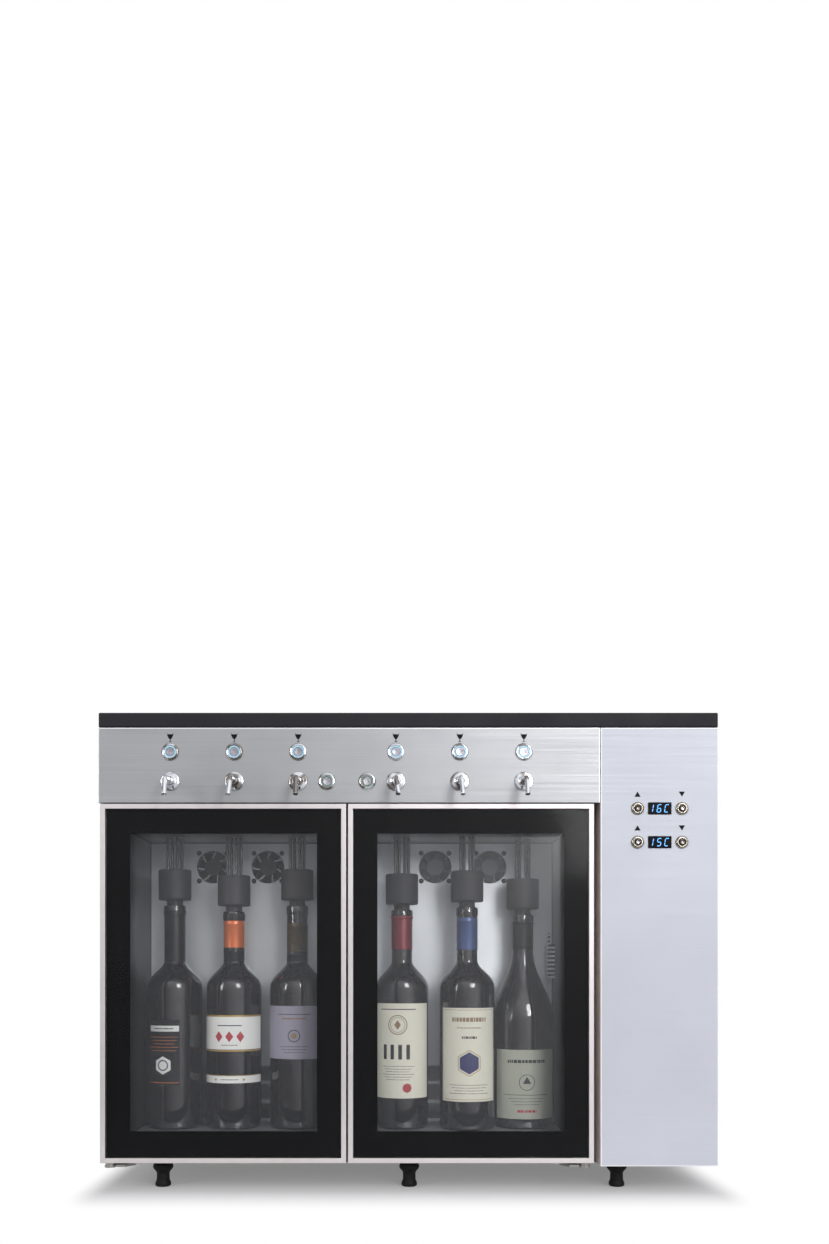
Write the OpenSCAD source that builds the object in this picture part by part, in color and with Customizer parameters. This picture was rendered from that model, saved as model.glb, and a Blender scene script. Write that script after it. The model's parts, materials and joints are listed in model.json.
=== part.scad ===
// Wine preservation dispenser for six bottles behind two glass doors.
// Millimetres. X runs to the viewer's right, the front faces -Y, Z is up.
// The origin lies on the table, under the middle of the whole object.

/* [Cabinet] */
// Overall width of the cabinet
cab_w = 800; // [780:5:1000]
// Height from the table to the top of the worktop
cab_h = 620; // [612:2:760]
// Depth from the front panels to the back panel
cab_d = 330; // [320:5:420]
// Thickness of the worktop slab
worktop_t = 20; // [12:1:40]
// Rounding of the worktop's edges
worktop_edge = 3; // [1:0.5:5]
// Height of the case above the table
foot_h = 34.5; // [30:0.5:60]
// Steel sheet of the outer case
sheet = 1.2; // [0.8:0.1:1.6]
// Depth of the folded edges behind the front panels
front_return = 42; // [38:1:50]
// Height of the control fascia above the doors
plenum_h = 96.5; // [90:0.5:140]
// Length of the fittings that stand out of the back panel
rear_reach = 18; // [16:1:30]

/* [Technical side] */
// Width of the technical compartment's front panel
tech_w = 151.8; // [140:0.2:200]
// Gap between the right door and the technical panel
tech_gap = 8.7; // [6.5:0.1:14]
// Seam between the control fascia and the technical panel
fascia_seam = 0.9; // [0.4:0.1:2]
// Distance between the two temperature buttons of a row
temp_pitch = 57.2; // [52:0.2:80]
// Height of the upper temperature row under the worktop
temp_drop = 104; // [80:1:160]
// Distance between the two temperature rows
temp_row = 43.5; // [36:0.5:60]
// Width of a temperature display
display_w = 30; // [24:0.5:32]
// Height of a temperature display
display_h = 15.5; // [12:0.5:20]
// Diameter of a temperature button's chrome rim
temp_rim_d = 16.8; // [14.4:0.2:20]

/* [Doors] */
// Gap between the two doors
door_gap = 2.5; // [2:0.1:5]
// Gap between a door and what it swings past at the side and at the bottom
door_edge_gap = 2.5; // [2:0.1:4]
// Gap between the doors and the fascia above them
door_top_gap = 1.5; // [1:0.1:3]
// Gap between the doors and the level of the case's underside
door_bottom_gap = 4; // [3.8:0.1:8]
// Width of the bright frame seen from the front
frame_face = 6.3; // [5:0.1:9]
// Width of the frame behind the outer pane
frame_step = 20.3; // [18:0.1:26]
// Width of the frame's rear lip
frame_lip = 27.6; // [22:0.1:34]
// Thickness of one glass pane
pane_t = 4; // [3:0.5:5]
// Space between the panes
pane_gap = 11.7; // [8:0.1:14]
// Distance of the hinge pin from the door's outer edge
pivot_in = 10; // [9:0.5:11]
// Distance of the hinge pin behind the door's front
pivot_back = 12; // [11:0.5:13]
// Diameter of the hinge pins
pin_d = 8; // [6:0.5:9]
// Thickness of the magnetic door gasket
gasket_t = 5.6; // [4:0.1:8]

/* [Chambers] */
// Wall between the case's left side and the left chamber
wall_foam = 31; // [24:0.5:40]
// Wall between the two chambers
divider_w = 60; // [40:1:90]
// Foam under the chamber floor
floor_foam = 34.3; // [25:0.1:50]
// Foam over the chamber ceiling
ceiling_foam = 31.5; // [25:0.5:34]
// Foam behind the liners
back_foam = 35; // [20:1:38]
// Steel sheet of the chamber liners and fan panels
liner = 0.8; // [0.6:0.1:1.2]
// Distance of the fan panel behind the front
fan_wall = 165; // [165:1:180]
// Distance of the liner's back wall behind the front
liner_back = 280; // [260:1:282]

/* [Dispensing] */
// Distance between neighbouring spouts of a chamber
tap_pitch = 82.5; // [78:0.5:90]
// Distance of the middle spout of a chamber from the gap between the doors
tap_group = 145.5; // [140:0.5:170]
// Depth of the buttons under the worktop
button_drop = 31; // [27:0.5:34]
// Depth of the spouts under the worktop
spout_drop = 69; // [62:0.5:72]
// Distance of a light button from the gap between the doors
light_offset = 26; // [18:0.5:34]
// How far the spouts stand out of the fascia
spout_reach = 45; // [38:1:60]
// Height of the spout's mouth under its flange's middle
spout_fall = 23.5; // [18:0.5:30]
// How far the spout's end leans forward, in degrees
spout_lean = 19; // [5:1:35]
// Outer diameter of the spout tube
spout_d = 6.2; // [5:0.2:7]
// Diameter of the chrome rim of a push button
bezel_d = 22.5; // [21.5:0.1:25]
// Travel of a push button
button_travel = 1.5; // [0.8:0.1:1.6]

/* [Bottles] */
// Body radius of a straight-sided bottle
bottle_r = 38; // [35:0.5:38.5]
// Body radius of the slope-shouldered bottle
wide_bottle_r = 43; // [40:0.5:43.5]
// Outer radius of a bottle's neck
neck_r = 14.3; // [13.5:0.1:15]
// Wall of a bottle
bottle_wall = 3; // [2:0.5:4]
// Diameter of the black cap on a bottle
cap_d = 45; // [40:1:50]
// Height of the black cap
cap_h = 42; // [36:1:44]
// Diameter of the tubes between a cap and the ceiling
riser_d = 4.5; // [4:0.1:5]

/* [Fans] */
// Side of a chamber fan's square frame
fan_side = 50; // [46:1:54]
// Diameter of the opening in front of a chamber fan
fan_hole_d = 47.3; // [42:0.1:48]
// Distance of a fan's axle from the middle of its chamber
fan_offset = 39.5; // [30:0.5:50]
// Depth of a chamber fan's frame
fan_depth = 15; // [12:1:20]
// Diameter of the condenser fan's opening
cooler_d = 108; // [90:1:112]

/* [Fits] */
// Radial clearance of pins, stems and axles that turn or slide
running = 0.05; // [0.03:0.01:0.09]
// Clearance round pieces set in openings
clear = 0.3; // [0.2:0.05:0.5]

/* [Hidden] */
$fn = 48;

// Planes of the case
front_y = spout_reach - (spout_reach + cab_d + rear_reach) / 2;
back_y = front_y + cab_d;
rear_in = back_y - sheet;
left_x = -cab_w / 2;
right_x = cab_w / 2;
in_left = left_x + sheet;
in_right = right_x - sheet;
case_top = cab_h - worktop_t;
tray_z = foot_h + sheet;
plenum_z = case_top - plenum_h;
tech_x = right_x - tech_w;
fascia_right = tech_x - fascia_seam;
tray_front = 26;
flange_w = 14;
top_flange_w = 25;

// Doors
doors_x0 = left_x + door_edge_gap;
doors_x1 = tech_x - tech_gap;
door_w = (doors_x1 - doors_x0 - door_gap) / 2;
door_mid = (doors_x0 + doors_x1) / 2;
door_z0 = foot_h + door_bottom_gap;
door_z1 = plenum_z - door_top_gap;
gasket_gap = 0.4;
gasket_in = 8;
gasket_w = 14;
door_t = front_return - gasket_t - gasket_gap;
pane_recess = 0.8;
frame_step_at = pane_recess + pane_t + 0.2;
frame_lip_at = frame_step_at + pane_gap + pane_t + 0.3;
pin_in_door = 14;
pivot_x = [doors_x0 + pivot_in, doors_x1 - pivot_in];
bracket_t = 3;
bracket_w = 35.6;
bracket_back = 80;

// Chambers
chamber_w = door_mid - divider_w / 2 - (left_x + wall_foam);
chamber_x = [for (s = [-1, 1]) door_mid + s * (divider_w + chamber_w) / 2];
floor_z = tray_z + floor_foam;
ceiling_z = plenum_z - ceiling_foam;
foam_x0 = in_left + sheet;
fan_z = ceiling_z - 36;
fan_screw = 0.4 * fan_side;
screw_hole_r = 1.6;

// Bottles: offset from the chamber's middle, distance behind the front, body radius,
// height, and 1 where the shoulders slope
bottle_of = [
    [-84, 112, bottle_r, 307, 0],
    [-1.6, 112, bottle_r, 299, 0],
    [86.3, 112, bottle_r, 307, 0],
    [-88, 112, bottle_r - 1.5, 301, 0],
    [1.8, 100, bottle_r, 304, 0],
    [81.1, 120, wide_bottle_r, 295, 1]
];
bottle_x = [for (i = [0:5]) chamber_x[floor(i / 3)] + bottle_of[i][0]];
bottle_y = [for (b = bottle_of) front_y + b[1]];
lip_z = [for (b = bottle_of) floor_z + b[3]];
punt_h = 14;
lip_band = 12;
lip_proud = 0.9;
mouth_r = 9.3;
fill_drop = 62;

// Caps: stopper, dip tube and the tubes that run up through the ceiling
stopper_h = 7.8;
stopper_r = 11;
plug_r = mouth_r - clear;
plug_len = 15;
spigot_r = 8.8;
spigot_len = 10;
dip_r = 2;
dip_clear = 8;
socket_depth = 8;
riser_spots = [[-9, -3], [-4, 3], [4, -3], [9, 3]];
riser_top = plenum_z + 4;
seat_gap = 0.2;
nest = 0.1;

// Controls on the front
tap_x = [for (s = [-1, 1]) for (k = [-1:1]) door_mid + s * tap_group + k * tap_pitch];
button_z = case_top - button_drop;
spout_z = case_top - spout_drop;
light_x = [door_mid - light_offset, door_mid + light_offset];
barrel_r = 9.3;
ring_out = 7.8;
ring_in = 6;
cap_r = 5.65;
stem_r = 4;
barrel_len = 20;
well_depth = button_travel + 2;
nut_r = 12.6;
temp_x0 = tech_x + 47.4;
temp_x = [temp_x0, temp_x0 + temp_pitch];
temp_z = [case_top - temp_drop, case_top - temp_drop - temp_row];
temp_barrel_r = 5.9;
temp_cap_r = 4.8;
temp_stem_r = 2.5;
temp_travel = 1;
temp_len = 14;
display_x = (temp_x[0] + temp_x[1]) / 2;
display_len = 25;

// Spouts: small hand-set turns, and the tube's straight lengths
spout_turn = [1, -5, 0, 7, 3, 0];
spout_bend = 90 - spout_lean;
spout_r = spout_d / 2;
spout_wall = 1;
spout_bend_r = 9;
spout_end = (spout_fall - spout_bend_r * (1 - cos(spout_bend))) / sin(spout_bend);
spout_run = spout_reach - spout_r * sin(spout_bend)
    - spout_bend_r * sin(spout_bend) - spout_end * cos(spout_bend);
shank_r = 5;
shank_len = 8;
valve_w = 28;
valve_len = 32;

// Feet
foot_front = 48;
foot_rear = 36;
foot_x = [left_x + 74, door_mid + 81, tech_x + 30.3];
foot_y = [front_y + foot_front, back_y - foot_rear];
stud_r = 4;
stud_top = tray_z + 12;

// Behind the fan panels and in the technical compartment
rotor_tip = 1;
hub_r = 12;
axle_r = 1.5;
blade_n = 7;
tech_in = tech_x + sheet;
tech_mid = (tech_in + in_right) / 2;
compressor_at = 120;
condenser_at = 236;
condenser_w = 126;
condenser_z = tray_z + 30;
cooler_z = condenser_z + condenser_w / 2;
hose_r = 2.25;
inlet_x = tech_mid + 22;
inlet_z = 110;
switch_x = inlet_x - 44;
gas_x = tech_mid - 30;
gas_z = 200;
gas_bore_r = 4 + running;
manifold_at = 150;
manifold_w = 30;
manifold_x = [tap_x[0] - 20, tap_x[5] + 20];

function behind(depth) = front_y + depth;
function arc(r, from, to, steps) =
    [for (i = [0:steps]) r * [cos(from + (to - from) * i / steps), sin(from + (to - from) * i / steps)]];
function round_rect(w, h, r) = [
    for (p = arc(r, 0, 90, 4)) [w - r, h - r] + p,
    for (p = arc(r, 90, 180, 4)) [r, h - r] + p,
    for (p = arc(r, 180, 270, 4)) [r, r] + p,
    for (p = arc(r, 270, 360, 4)) [w - r, r] + p
];

// A box given by its range along each axis
module block(x, y, z) {
    translate([x[0], y[0], z[0]])
        cube([x[1] - x[0], y[1] - y[0], z[1] - z[0]]);
}

// A rod along Y, from y[0] to y[1]
module rod_y(x, z, r, y) {
    translate([x, y[0], z])
        rotate([-90, 0, 0])
            cylinder(h = y[1] - y[0], r = r);
}

// A rod along X, from x[0] to x[1]
module rod_x(y, z, r, x) {
    translate([x[0], y, z])
        rotate([0, 90, 0])
            cylinder(h = x[1] - x[0], r = r);
}

// Puts its children on the front plane, with their own +Z pointing out of the panel
module on_front(x, z) {
    translate([x, front_y, z])
        rotate([90, 0, 0])
            children();
}

// A tube bend that starts at the origin along +Z and turns towards -Y
module bend(r, bend_r, angle) {
    translate([0, -bend_r, 0])
        rotate([90, 0, 90])
            rotate_extrude(angle = angle)
                translate([bend_r, 0])
                    circle(r = r);
}

// An upright frame in the XZ plane: outer size less an opening of the same margin all round
module ring_frame(x, y, z, margin) {
    difference() {
        block(x, y, z);
        block([x[0] + margin, x[1] - margin], [y[0] - 1, y[1] + 1], [z[0] + margin, z[1] - margin]);
    }
}

// Outer case --------------------------------------------------------------

module worktop() {
    color("#24272c")
    intersection() {
        translate([left_x, front_y, 0])
            linear_extrude(cab_h + 1)
                polygon(round_rect(cab_w, cab_d, worktop_edge));
        translate([left_x - 1, front_y, case_top])
            rotate([90, 0, 90])
                linear_extrude(cab_w + 2)
                    polygon(round_rect(cab_d, worktop_t, worktop_edge));
        translate([left_x, back_y + 1, case_top])
            rotate([90, 0, 0])
                linear_extrude(cab_d + 2)
                    polygon(round_rect(cab_w, worktop_t, worktop_edge));
    }
}

module base_tray() {
    tray_back = [rear_in - sheet, rear_in];
    upstand_z = [foot_h, tray_z + flange_w];
    plate_x = [left_x + 124, left_x + 248];
    color("#b4b6b8") {
        difference() {
            union() {
                block([in_left, tech_x], [behind(tray_front), rear_in], [foot_h, tray_z]);
                block([tech_x, in_right], [behind(front_return), rear_in], [foot_h, tray_z]);
                block([tech_in, in_right], [behind(sheet), behind(front_return)], [foot_h, tray_z]);
                block([in_left, foam_x0], [behind(front_return + liner), rear_in], upstand_z);
                block([in_right - sheet, in_right], [behind(front_return), rear_in], upstand_z);
                block([in_left, in_right], tray_back, upstand_z);
                block([tech_in, in_right - sheet], [behind(sheet), behind(2 * sheet)], upstand_z);
            }
            for (x = foot_x)
                for (y = foot_y)
                    translate([x, y, foot_h - 1])
                        cylinder(h = sheet + 2, r = stud_r + clear);
        }
        // Cover plate of the tray, seen as a thin dark line under the left door
        block(plate_x, [behind(tray_front - 2), behind(tray_front + 60)], [foot_h - 2, foot_h]);
    }
}

module side_panel(outer_x, inner_x, flange_x) {
    block([min(outer_x, inner_x), max(outer_x, inner_x)],
        [behind(front_return), back_y], [foot_h, case_top]);
    block([min(inner_x, flange_x), max(inner_x, flange_x)],
        [behind(front_return), back_y], [case_top - sheet, case_top]);
    block([min(inner_x, flange_x), max(inner_x, flange_x)],
        [rear_in - sheet, rear_in], [tray_z + flange_w + 0.5, case_top - sheet]);
}

module side_panel_left() {
    color("#c0c2c4")
    difference() {
        side_panel(left_x, in_left, in_left + flange_w);
        block([in_left, in_right], [rear_in, back_y + 1], [foot_h - 1, case_top + 1]);
    }
}

module side_panel_right() {
    slot_n = 8;
    slot_pitch = 12;
    color("#c0c2c4")
    difference() {
        side_panel(right_x, in_right, in_right - flange_w);
        block([in_left, in_right], [rear_in, back_y + 1], [foot_h - 1, case_top + 1]);
        // Air slots beside the compressor
        for (i = [0:slot_n - 1])
            block([in_right - 1, right_x + 1], [behind(80), behind(200)],
                [tray_z + 40 + i * slot_pitch, tray_z + 45 + i * slot_pitch]);
    }
}

module back_panel() {
    slot_n = 10;
    slot_pitch = 12;
    color("#aeb0b2")
    difference() {
        block([in_left, in_right], [rear_in, back_y], [foot_h, case_top]);
        // Air slots over the fittings
        for (i = [0:slot_n - 1])
            block([tech_mid - 50, tech_mid + 50], [rear_in - 1, back_y + 1],
                [gas_z + 30 + i * slot_pitch, gas_z + 36 + i * slot_pitch]);
        block([inlet_x - 14, inlet_x + 14], [rear_in - 1, back_y + 1], [inlet_z - 12, inlet_z + 12]);
        block([switch_x - 7, switch_x + 7], [rear_in - 1, back_y + 1], [inlet_z - 11, inlet_z + 11]);
        rod_y(gas_x, gas_z, 6 + clear, [rear_in - 1, back_y + 1]);
    }
}

module partition_wall() {
    color("#9a9690")
    block([tech_x, tech_in], [behind(front_return), rear_in - sheet], [tray_z, case_top]);
}

// Fascia, technical panel and what is set in them -------------------------

module control_fascia() {
    color("#b3b5b6")
    difference() {
        union() {
            block([left_x, fascia_right], [front_y, behind(sheet)], [plenum_z, case_top]);
            block([left_x, in_left], [front_y, behind(front_return)], [plenum_z, case_top]);
            block([left_x, fascia_right], [front_y, behind(front_return)], [plenum_z, plenum_z + sheet]);
            block([left_x, fascia_right], [front_y, behind(top_flange_w)], [case_top - sheet, case_top]);
        }
        for (x = tap_x) {
            rod_y(x, button_z, barrel_r + clear, [front_y - 1, behind(sheet + 1)]);
            rod_y(x, spout_z, shank_r + clear, [front_y - 1, behind(sheet + 1)]);
        }
        for (x = light_x)
            rod_y(x, spout_z, barrel_r + clear, [front_y - 1, behind(sheet + 1)]);
        for (x = pivot_x)
            translate([x, behind(pivot_back), plenum_z - 1])
                cylinder(h = sheet + 2, r = pin_d / 2 + clear);
    }
}

module tech_front_panel() {
    color("#c6c7cc")
    difference() {
        union() {
            block([tech_x, right_x], [front_y, behind(sheet)], [foot_h, case_top]);
            block([tech_x, tech_in], [front_y, behind(front_return)], [foot_h, case_top]);
            block([in_right, right_x], [front_y, behind(front_return)], [foot_h, case_top]);
            block([tech_x, right_x], [front_y, behind(top_flange_w)], [case_top - sheet, case_top]);
        }
        for (z = temp_z) {
            for (x = temp_x)
                rod_y(x, z, temp_barrel_r + clear, [front_y - 1, behind(sheet + 1)]);
            block([display_x - display_w / 2 + 0.3, display_x + display_w / 2 - 0.3],
                [front_y - 1, behind(sheet + 1)],
                [z - display_h / 2 + 0.3, z + display_h / 2 - 0.3]);
        }
    }
}

// The fixed body of a push button, with its nut behind the panel
module push_button_body() {
    rim = bezel_d / 2;
    rotate_extrude()
        polygon([
            [stem_r + running, -barrel_len], [barrel_r, -barrel_len], [barrel_r, 0], [rim, 0],
            [rim, 0.7], [rim - 0.5, 1.3], [rim - 2, 2.4], [ring_out + 0.6, 2.4], [ring_out + nest, 1.9],
            [ring_out + nest, -2], [ring_in, -2], [ring_in, -well_depth], [stem_r + running, -well_depth]
        ]);
    translate([0, 0, -sheet - 3])
        difference() {
            cylinder(h = 3, r = nut_r, $fn = 6);
            translate([0, 0, -1])
                cylinder(h = 5, r = barrel_r + nest);
        }
}

// The part of a push button that travels: a round cap on a stem
module push_button_cap() {
    rotate_extrude()
        polygon([
            [0, -barrel_len + button_travel + 0.5], [stem_r, -barrel_len + button_travel + 0.5],
            [stem_r, -1.8], [cap_r, -1.8], [cap_r, 0.9], [cap_r - 0.4, 1.3], [cap_r - 1, 1.3], [0, 1]
        ]);
}

module temp_button_body() {
    rim = temp_rim_d / 2;
    well = temp_cap_r + clear;
    rotate_extrude()
        polygon([
            [temp_stem_r + running, -temp_len], [temp_barrel_r, -temp_len], [temp_barrel_r, 0], [rim, 0],
            [rim, 0.8], [rim - 0.5, 1.9], [rim - 1.4, 2.7], [rim - 2.6, 3.1], [well, 3.1],
            [well, -2.4], [temp_stem_r + running, -2.4]
        ]);
}

module temp_button_cap() {
    rotate_extrude()
        polygon([
            [0, -temp_len + temp_travel + 0.5], [temp_stem_r, -temp_len + temp_travel + 0.5],
            [temp_stem_r, -1.2], [temp_cap_r, -1.2], [temp_cap_r, 3], [temp_cap_r - 0.7, 3.7],
            [temp_cap_r - 2, 4], [1.9, 3.9], [1.2, 3.4], [0, 3.2]
        ]);
}

module button_bezels() {
    color("#d9dbdd") {
        for (x = tap_x)
            on_front(x, button_z) push_button_body();
        for (x = light_x)
            on_front(x, spout_z) push_button_body();
        for (z = temp_z)
            for (x = temp_x)
                on_front(x, z) temp_button_body();
    }
}

module light_ring() {
    rotate_extrude()
        translate([ring_in, -2])
            square([ring_out - ring_in, 3.6]);
}

module light_rings() {
    color("#9fd4f2") {
        for (x = tap_x)
            on_front(x, button_z) light_ring();
        for (x = light_x)
            on_front(x, spout_z) light_ring();
    }
}

module dispense_button(i) { color("#c9d4dc") on_front(tap_x[i], button_z) push_button_cap(); }
module dispense_button_1() { dispense_button(0); }
module dispense_button_2() { dispense_button(1); }
module dispense_button_3() { dispense_button(2); }
module dispense_button_4() { dispense_button(3); }
module dispense_button_5() { dispense_button(4); }
module dispense_button_6() { dispense_button(5); }
module light_button_left() { color("#b9c4bb") on_front(light_x[0], spout_z) push_button_cap(); }
module light_button_right() { color("#b9c4bb") on_front(light_x[1], spout_z) push_button_cap(); }

module temp_button(column, row) { color("#d0d2d4") on_front(temp_x[column], temp_z[row]) temp_button_cap(); }
module temp_button_1() { temp_button(0, 0); }
module temp_button_2() { temp_button(1, 0); }
module temp_button_3() { temp_button(0, 1); }
module temp_button_4() { temp_button(1, 1); }

module display_modules() {
    lens_t = 0.9;
    color("#101216")
    for (z = temp_z)
        on_front(display_x, z) {
            translate([-display_w / 2, -display_h / 2, 0])
                linear_extrude(lens_t)
                    polygon(round_rect(display_w, display_h, 1));
            translate([0, 0, -display_len / 2])
                cube([display_w - 1.2, display_h - 1.2, display_len], center = true);
        }
}

// Cross-section of the spout tube; thin is how much its wall gives way on both sides
module spout_section(thin) {
    difference() {
        circle(r = spout_r - thin);
        circle(r = spout_r - spout_wall + thin);
    }
}

// One spout: flange with its boss and threaded shank, then the tube's run, elbow and end
module spout() {
    bore = spout_r - spout_wall;
    boss_end = 8.5;
    // The straight end is a hair thinner than the elbow and starts inside its wall
    end_seat = 0.4;
    end_thin = 0.03;
    rotate_extrude()
        polygon([[bore, -shank_len], [shank_r, -shank_len], [shank_r, 0], [12.25, 0], [12.25, 1.2],
            [11.4, 2.2], [6.6, 2.6], [6, 4], [5.2, 7.5], [4.3, boss_end], [bore, boss_end]]);
    translate([0, 0, boss_end])
        linear_extrude(spout_run - boss_end)
            spout_section(0);
    translate([0, -spout_bend_r, spout_run])
        rotate([90, 0, 90])
            rotate_extrude(angle = spout_bend)
                translate([spout_bend_r, 0])
                    spout_section(0);
    translate([0, -spout_bend_r * (1 - cos(spout_bend)), spout_run + spout_bend_r * sin(spout_bend)])
        rotate([spout_bend, 0, 0])
            translate([0, 0, -end_seat])
                linear_extrude(spout_end + end_seat)
                    spout_section(end_thin);
}

module spouts() {
    color("#d6d8da")
    for (i = [0:5])
        on_front(tap_x[i], spout_z)
            rotate([0, 0, spout_turn[i]])
                spout();
}

// Doors --------------------------------------------------------------------

function door_x(side) = side < 0
    ? [doors_x0, doors_x0 + door_w]
    : [doors_x1 - door_w, doors_x1];

module door_frame(side) {
    x = door_x(side);
    z = [door_z0, door_z1];
    pivot = side < 0 ? pivot_x[0] : pivot_x[1];
    screw_x = side < 0 ? x[0] + 47 : x[1] - 47;
    difference() {
        block(x, [front_y, behind(door_t)], z);
        block([x[0] + frame_face, x[1] - frame_face], [front_y - 1, behind(frame_step_at)],
            [z[0] + frame_face, z[1] - frame_face]);
        block([x[0] + frame_step, x[1] - frame_step], [front_y, behind(frame_lip_at)],
            [z[0] + frame_step, z[1] - frame_step]);
        block([x[0] + frame_lip, x[1] - frame_lip], [front_y, behind(door_t + 1)],
            [z[0] + frame_lip, z[1] - frame_lip]);
        // Bores for the hinge pins
        translate([pivot, behind(pivot_back), z[0] - 1])
            cylinder(h = pin_in_door + 1 + clear, r = pin_d / 2 + running);
        translate([pivot, behind(pivot_back), z[1] - pin_in_door - clear])
            cylinder(h = pin_in_door + 1 + clear, r = pin_d / 2 + running);
    }
    // Corner screw under the bottom rail
    translate([screw_x, behind(pivot_back), z[0] - 3])
        rotate_extrude()
            polygon([[0, 0], [3.2, 0], [4.2, 0.8], [4.2, 3], [0, 3]]);
}

module door_glass(side) {
    x = door_x(side);
    z = [door_z0, door_z1];
    front_in = frame_face + clear;
    step_in = frame_step + clear;
    spacer_w = 9;
    inner_at = frame_step_at + pane_gap;
    block([x[0] + front_in, x[1] - front_in], [behind(pane_recess), behind(pane_recess + pane_t)],
        [z[0] + front_in, z[1] - front_in]);
    ring_frame([x[0] + step_in, x[1] - step_in], [behind(pane_recess + pane_t), behind(inner_at)],
        [z[0] + step_in, z[1] - step_in], spacer_w);
    block([x[0] + step_in, x[1] - step_in], [behind(inner_at), behind(inner_at + pane_t)],
        [z[0] + step_in, z[1] - step_in]);
}

module door_gasket(side) {
    x = door_x(side);
    groove = 3;
    difference() {
        ring_frame([x[0] + gasket_in, x[1] - gasket_in], [behind(door_t), behind(door_t + gasket_t)],
            [door_z0 + gasket_in, door_z1 - gasket_in], gasket_w);
        // Fold of the bellows, seen from inside the door
        ring_frame([x[0] + gasket_in + gasket_w - groove, x[1] - gasket_in - gasket_w + groove],
            [behind(door_t + 1.6), behind(door_t + 3.2)],
            [door_z0 + gasket_in + gasket_w - groove, door_z1 - gasket_in - gasket_w + groove], groove + 1);
    }
}

module door_frame_left() { color("#d8cfcd") door_frame(-1); }
module door_frame_right() { color("#d8cfcd") door_frame(1); }
module door_glass_left() { color("#4a4f55", 0.5) door_glass(-1); }
module door_glass_right() { color("#4a4f55", 0.5) door_glass(1); }
module door_gasket_left() { color("#2a2a2c") door_gasket(-1); }
module door_gasket_right() { color("#2a2a2c") door_gasket(1); }

// A hinge plate round a pin, running back from it; side says which way it widens
module hinge_plate(side) {
    linear_extrude(bracket_t)
        union() {
            circle(r = 7);
            polygon([[-side * 6, 0], [side * (bracket_w - 16), 0], [side * (bracket_w - 6), 14],
                [side * (bracket_w - 6), bracket_back - pivot_back], [-side * 6, bracket_back - pivot_back]]);
        }
}

module hinge_brackets() {
    color("#a8a9ab")
    for (i = [0, 1]) {
        side = i == 0 ? 1 : -1;
        pin_r = pin_d / 2;
        translate([pivot_x[i], behind(pivot_back), 0]) {
            // Bottom plate, its washer and its pin
            translate([0, 0, foot_h - bracket_t])
                hinge_plate(side);
            translate([0, 0, foot_h])
                cylinder(h = door_bottom_gap - clear, r = pin_r + 2);
            translate([0, 0, foot_h])
                cylinder(h = door_bottom_gap + pin_in_door, r = pin_r);
            // Top plate on the fascia's lower edge, and its pin
            translate([0, 0, plenum_z + sheet])
                intersection() {
                    hinge_plate(side);
                    translate([-60, -8, 0])
                        cube([120, front_return - pivot_back + 6, bracket_t]);
                }
            translate([0, 0, door_z1 - pin_in_door])
                cylinder(h = pin_in_door + door_top_gap + sheet + bracket_t, r = pin_r);
        }
    }
}

// Chambers ------------------------------------------------------------------

module riser_holes(i, r, z) {
    for (p = riser_spots)
        translate([bottle_x[i] + p[0], bottle_y[i] + p[1], z[0]])
            cylinder(h = z[1] - z[0], r = r);
}

module liner_box(c, grow, front) {
    block([chamber_x[c] - chamber_w / 2 - grow, chamber_x[c] + chamber_w / 2 + grow],
        [behind(front), behind(liner_back + grow)], [floor_z - grow, ceiling_z + grow]);
}

module chamber_liners() {
    flange_x = [[in_left, door_mid - 0.2], [door_mid + 0.2, tech_x]];
    color("#b2b4b6")
    for (c = [0, 1])
        difference() {
            union() {
                liner_box(c, liner, front_return);
                block(flange_x[c], [behind(front_return), behind(front_return + liner)], [tray_z, plenum_z]);
            }
            liner_box(c, 0, front_return - 1);
            for (i = [3 * c:3 * c + 2])
                riser_holes(i, riser_d / 2 + clear, [ceiling_z - 1, ceiling_z + liner + 1]);
        }
}

module insulation() {
    color("#e8dfb4")
    difference() {
        block([foam_x0, tech_x], [behind(front_return + liner), behind(liner_back + liner + back_foam)],
            [tray_z, plenum_z]);
        for (c = [0, 1])
            liner_box(c, liner, front_return - 1);
        for (i = [0:5])
            riser_holes(i, riser_d / 2 + clear, [ceiling_z, plenum_z + 1]);
        // Pockets for the studs of the feet
        for (x = foot_x)
            for (y = foot_y)
                translate([x, y, tray_z - 1])
                    cylinder(h = stud_top - tray_z + 1 + clear, r = stud_r + clear);
    }
}

module fan_panels() {
    fold = 15;
    slot_w = 40;
    slot_h = 22;
    slot_pitch_x = 48;
    slot_pitch_z = 27;
    lowest_slot = floor_z + 4;
    cut_y = [behind(fan_wall - 1), behind(fan_wall + 2)];
    color("#b9bbbd")
    for (cx = chamber_x) {
        x = [cx - chamber_w / 2 + clear, cx + chamber_w / 2 - clear];
        z = [floor_z + clear, ceiling_z - clear];
        difference() {
            union() {
                block(x, [behind(fan_wall), behind(fan_wall + liner)], z);
                block([x[0], x[0] + liner], [behind(fan_wall), behind(fan_wall + fold)], z);
                block([x[1] - liner, x[1]], [behind(fan_wall), behind(fan_wall + fold)], z);
            }
            for (hole_x = [cx - fan_offset, cx + fan_offset]) {
                rod_y(hole_x, fan_z, fan_hole_d / 2, cut_y);
                for (a = [-1, 1])
                    for (b = [-1, 1])
                        rod_y(hole_x + a * fan_screw, fan_z + b * fan_screw, screw_hole_r, cut_y);
            }
            // Return-air slots near the floor
            for (k = [-2:2])
                for (j = [0:2])
                    translate([cx + k * slot_pitch_x - slot_w / 2, 0, lowest_slot + j * slot_pitch_z])
                        block([0, slot_w], cut_y, [0, slot_h]);
        }
    }
}

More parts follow.
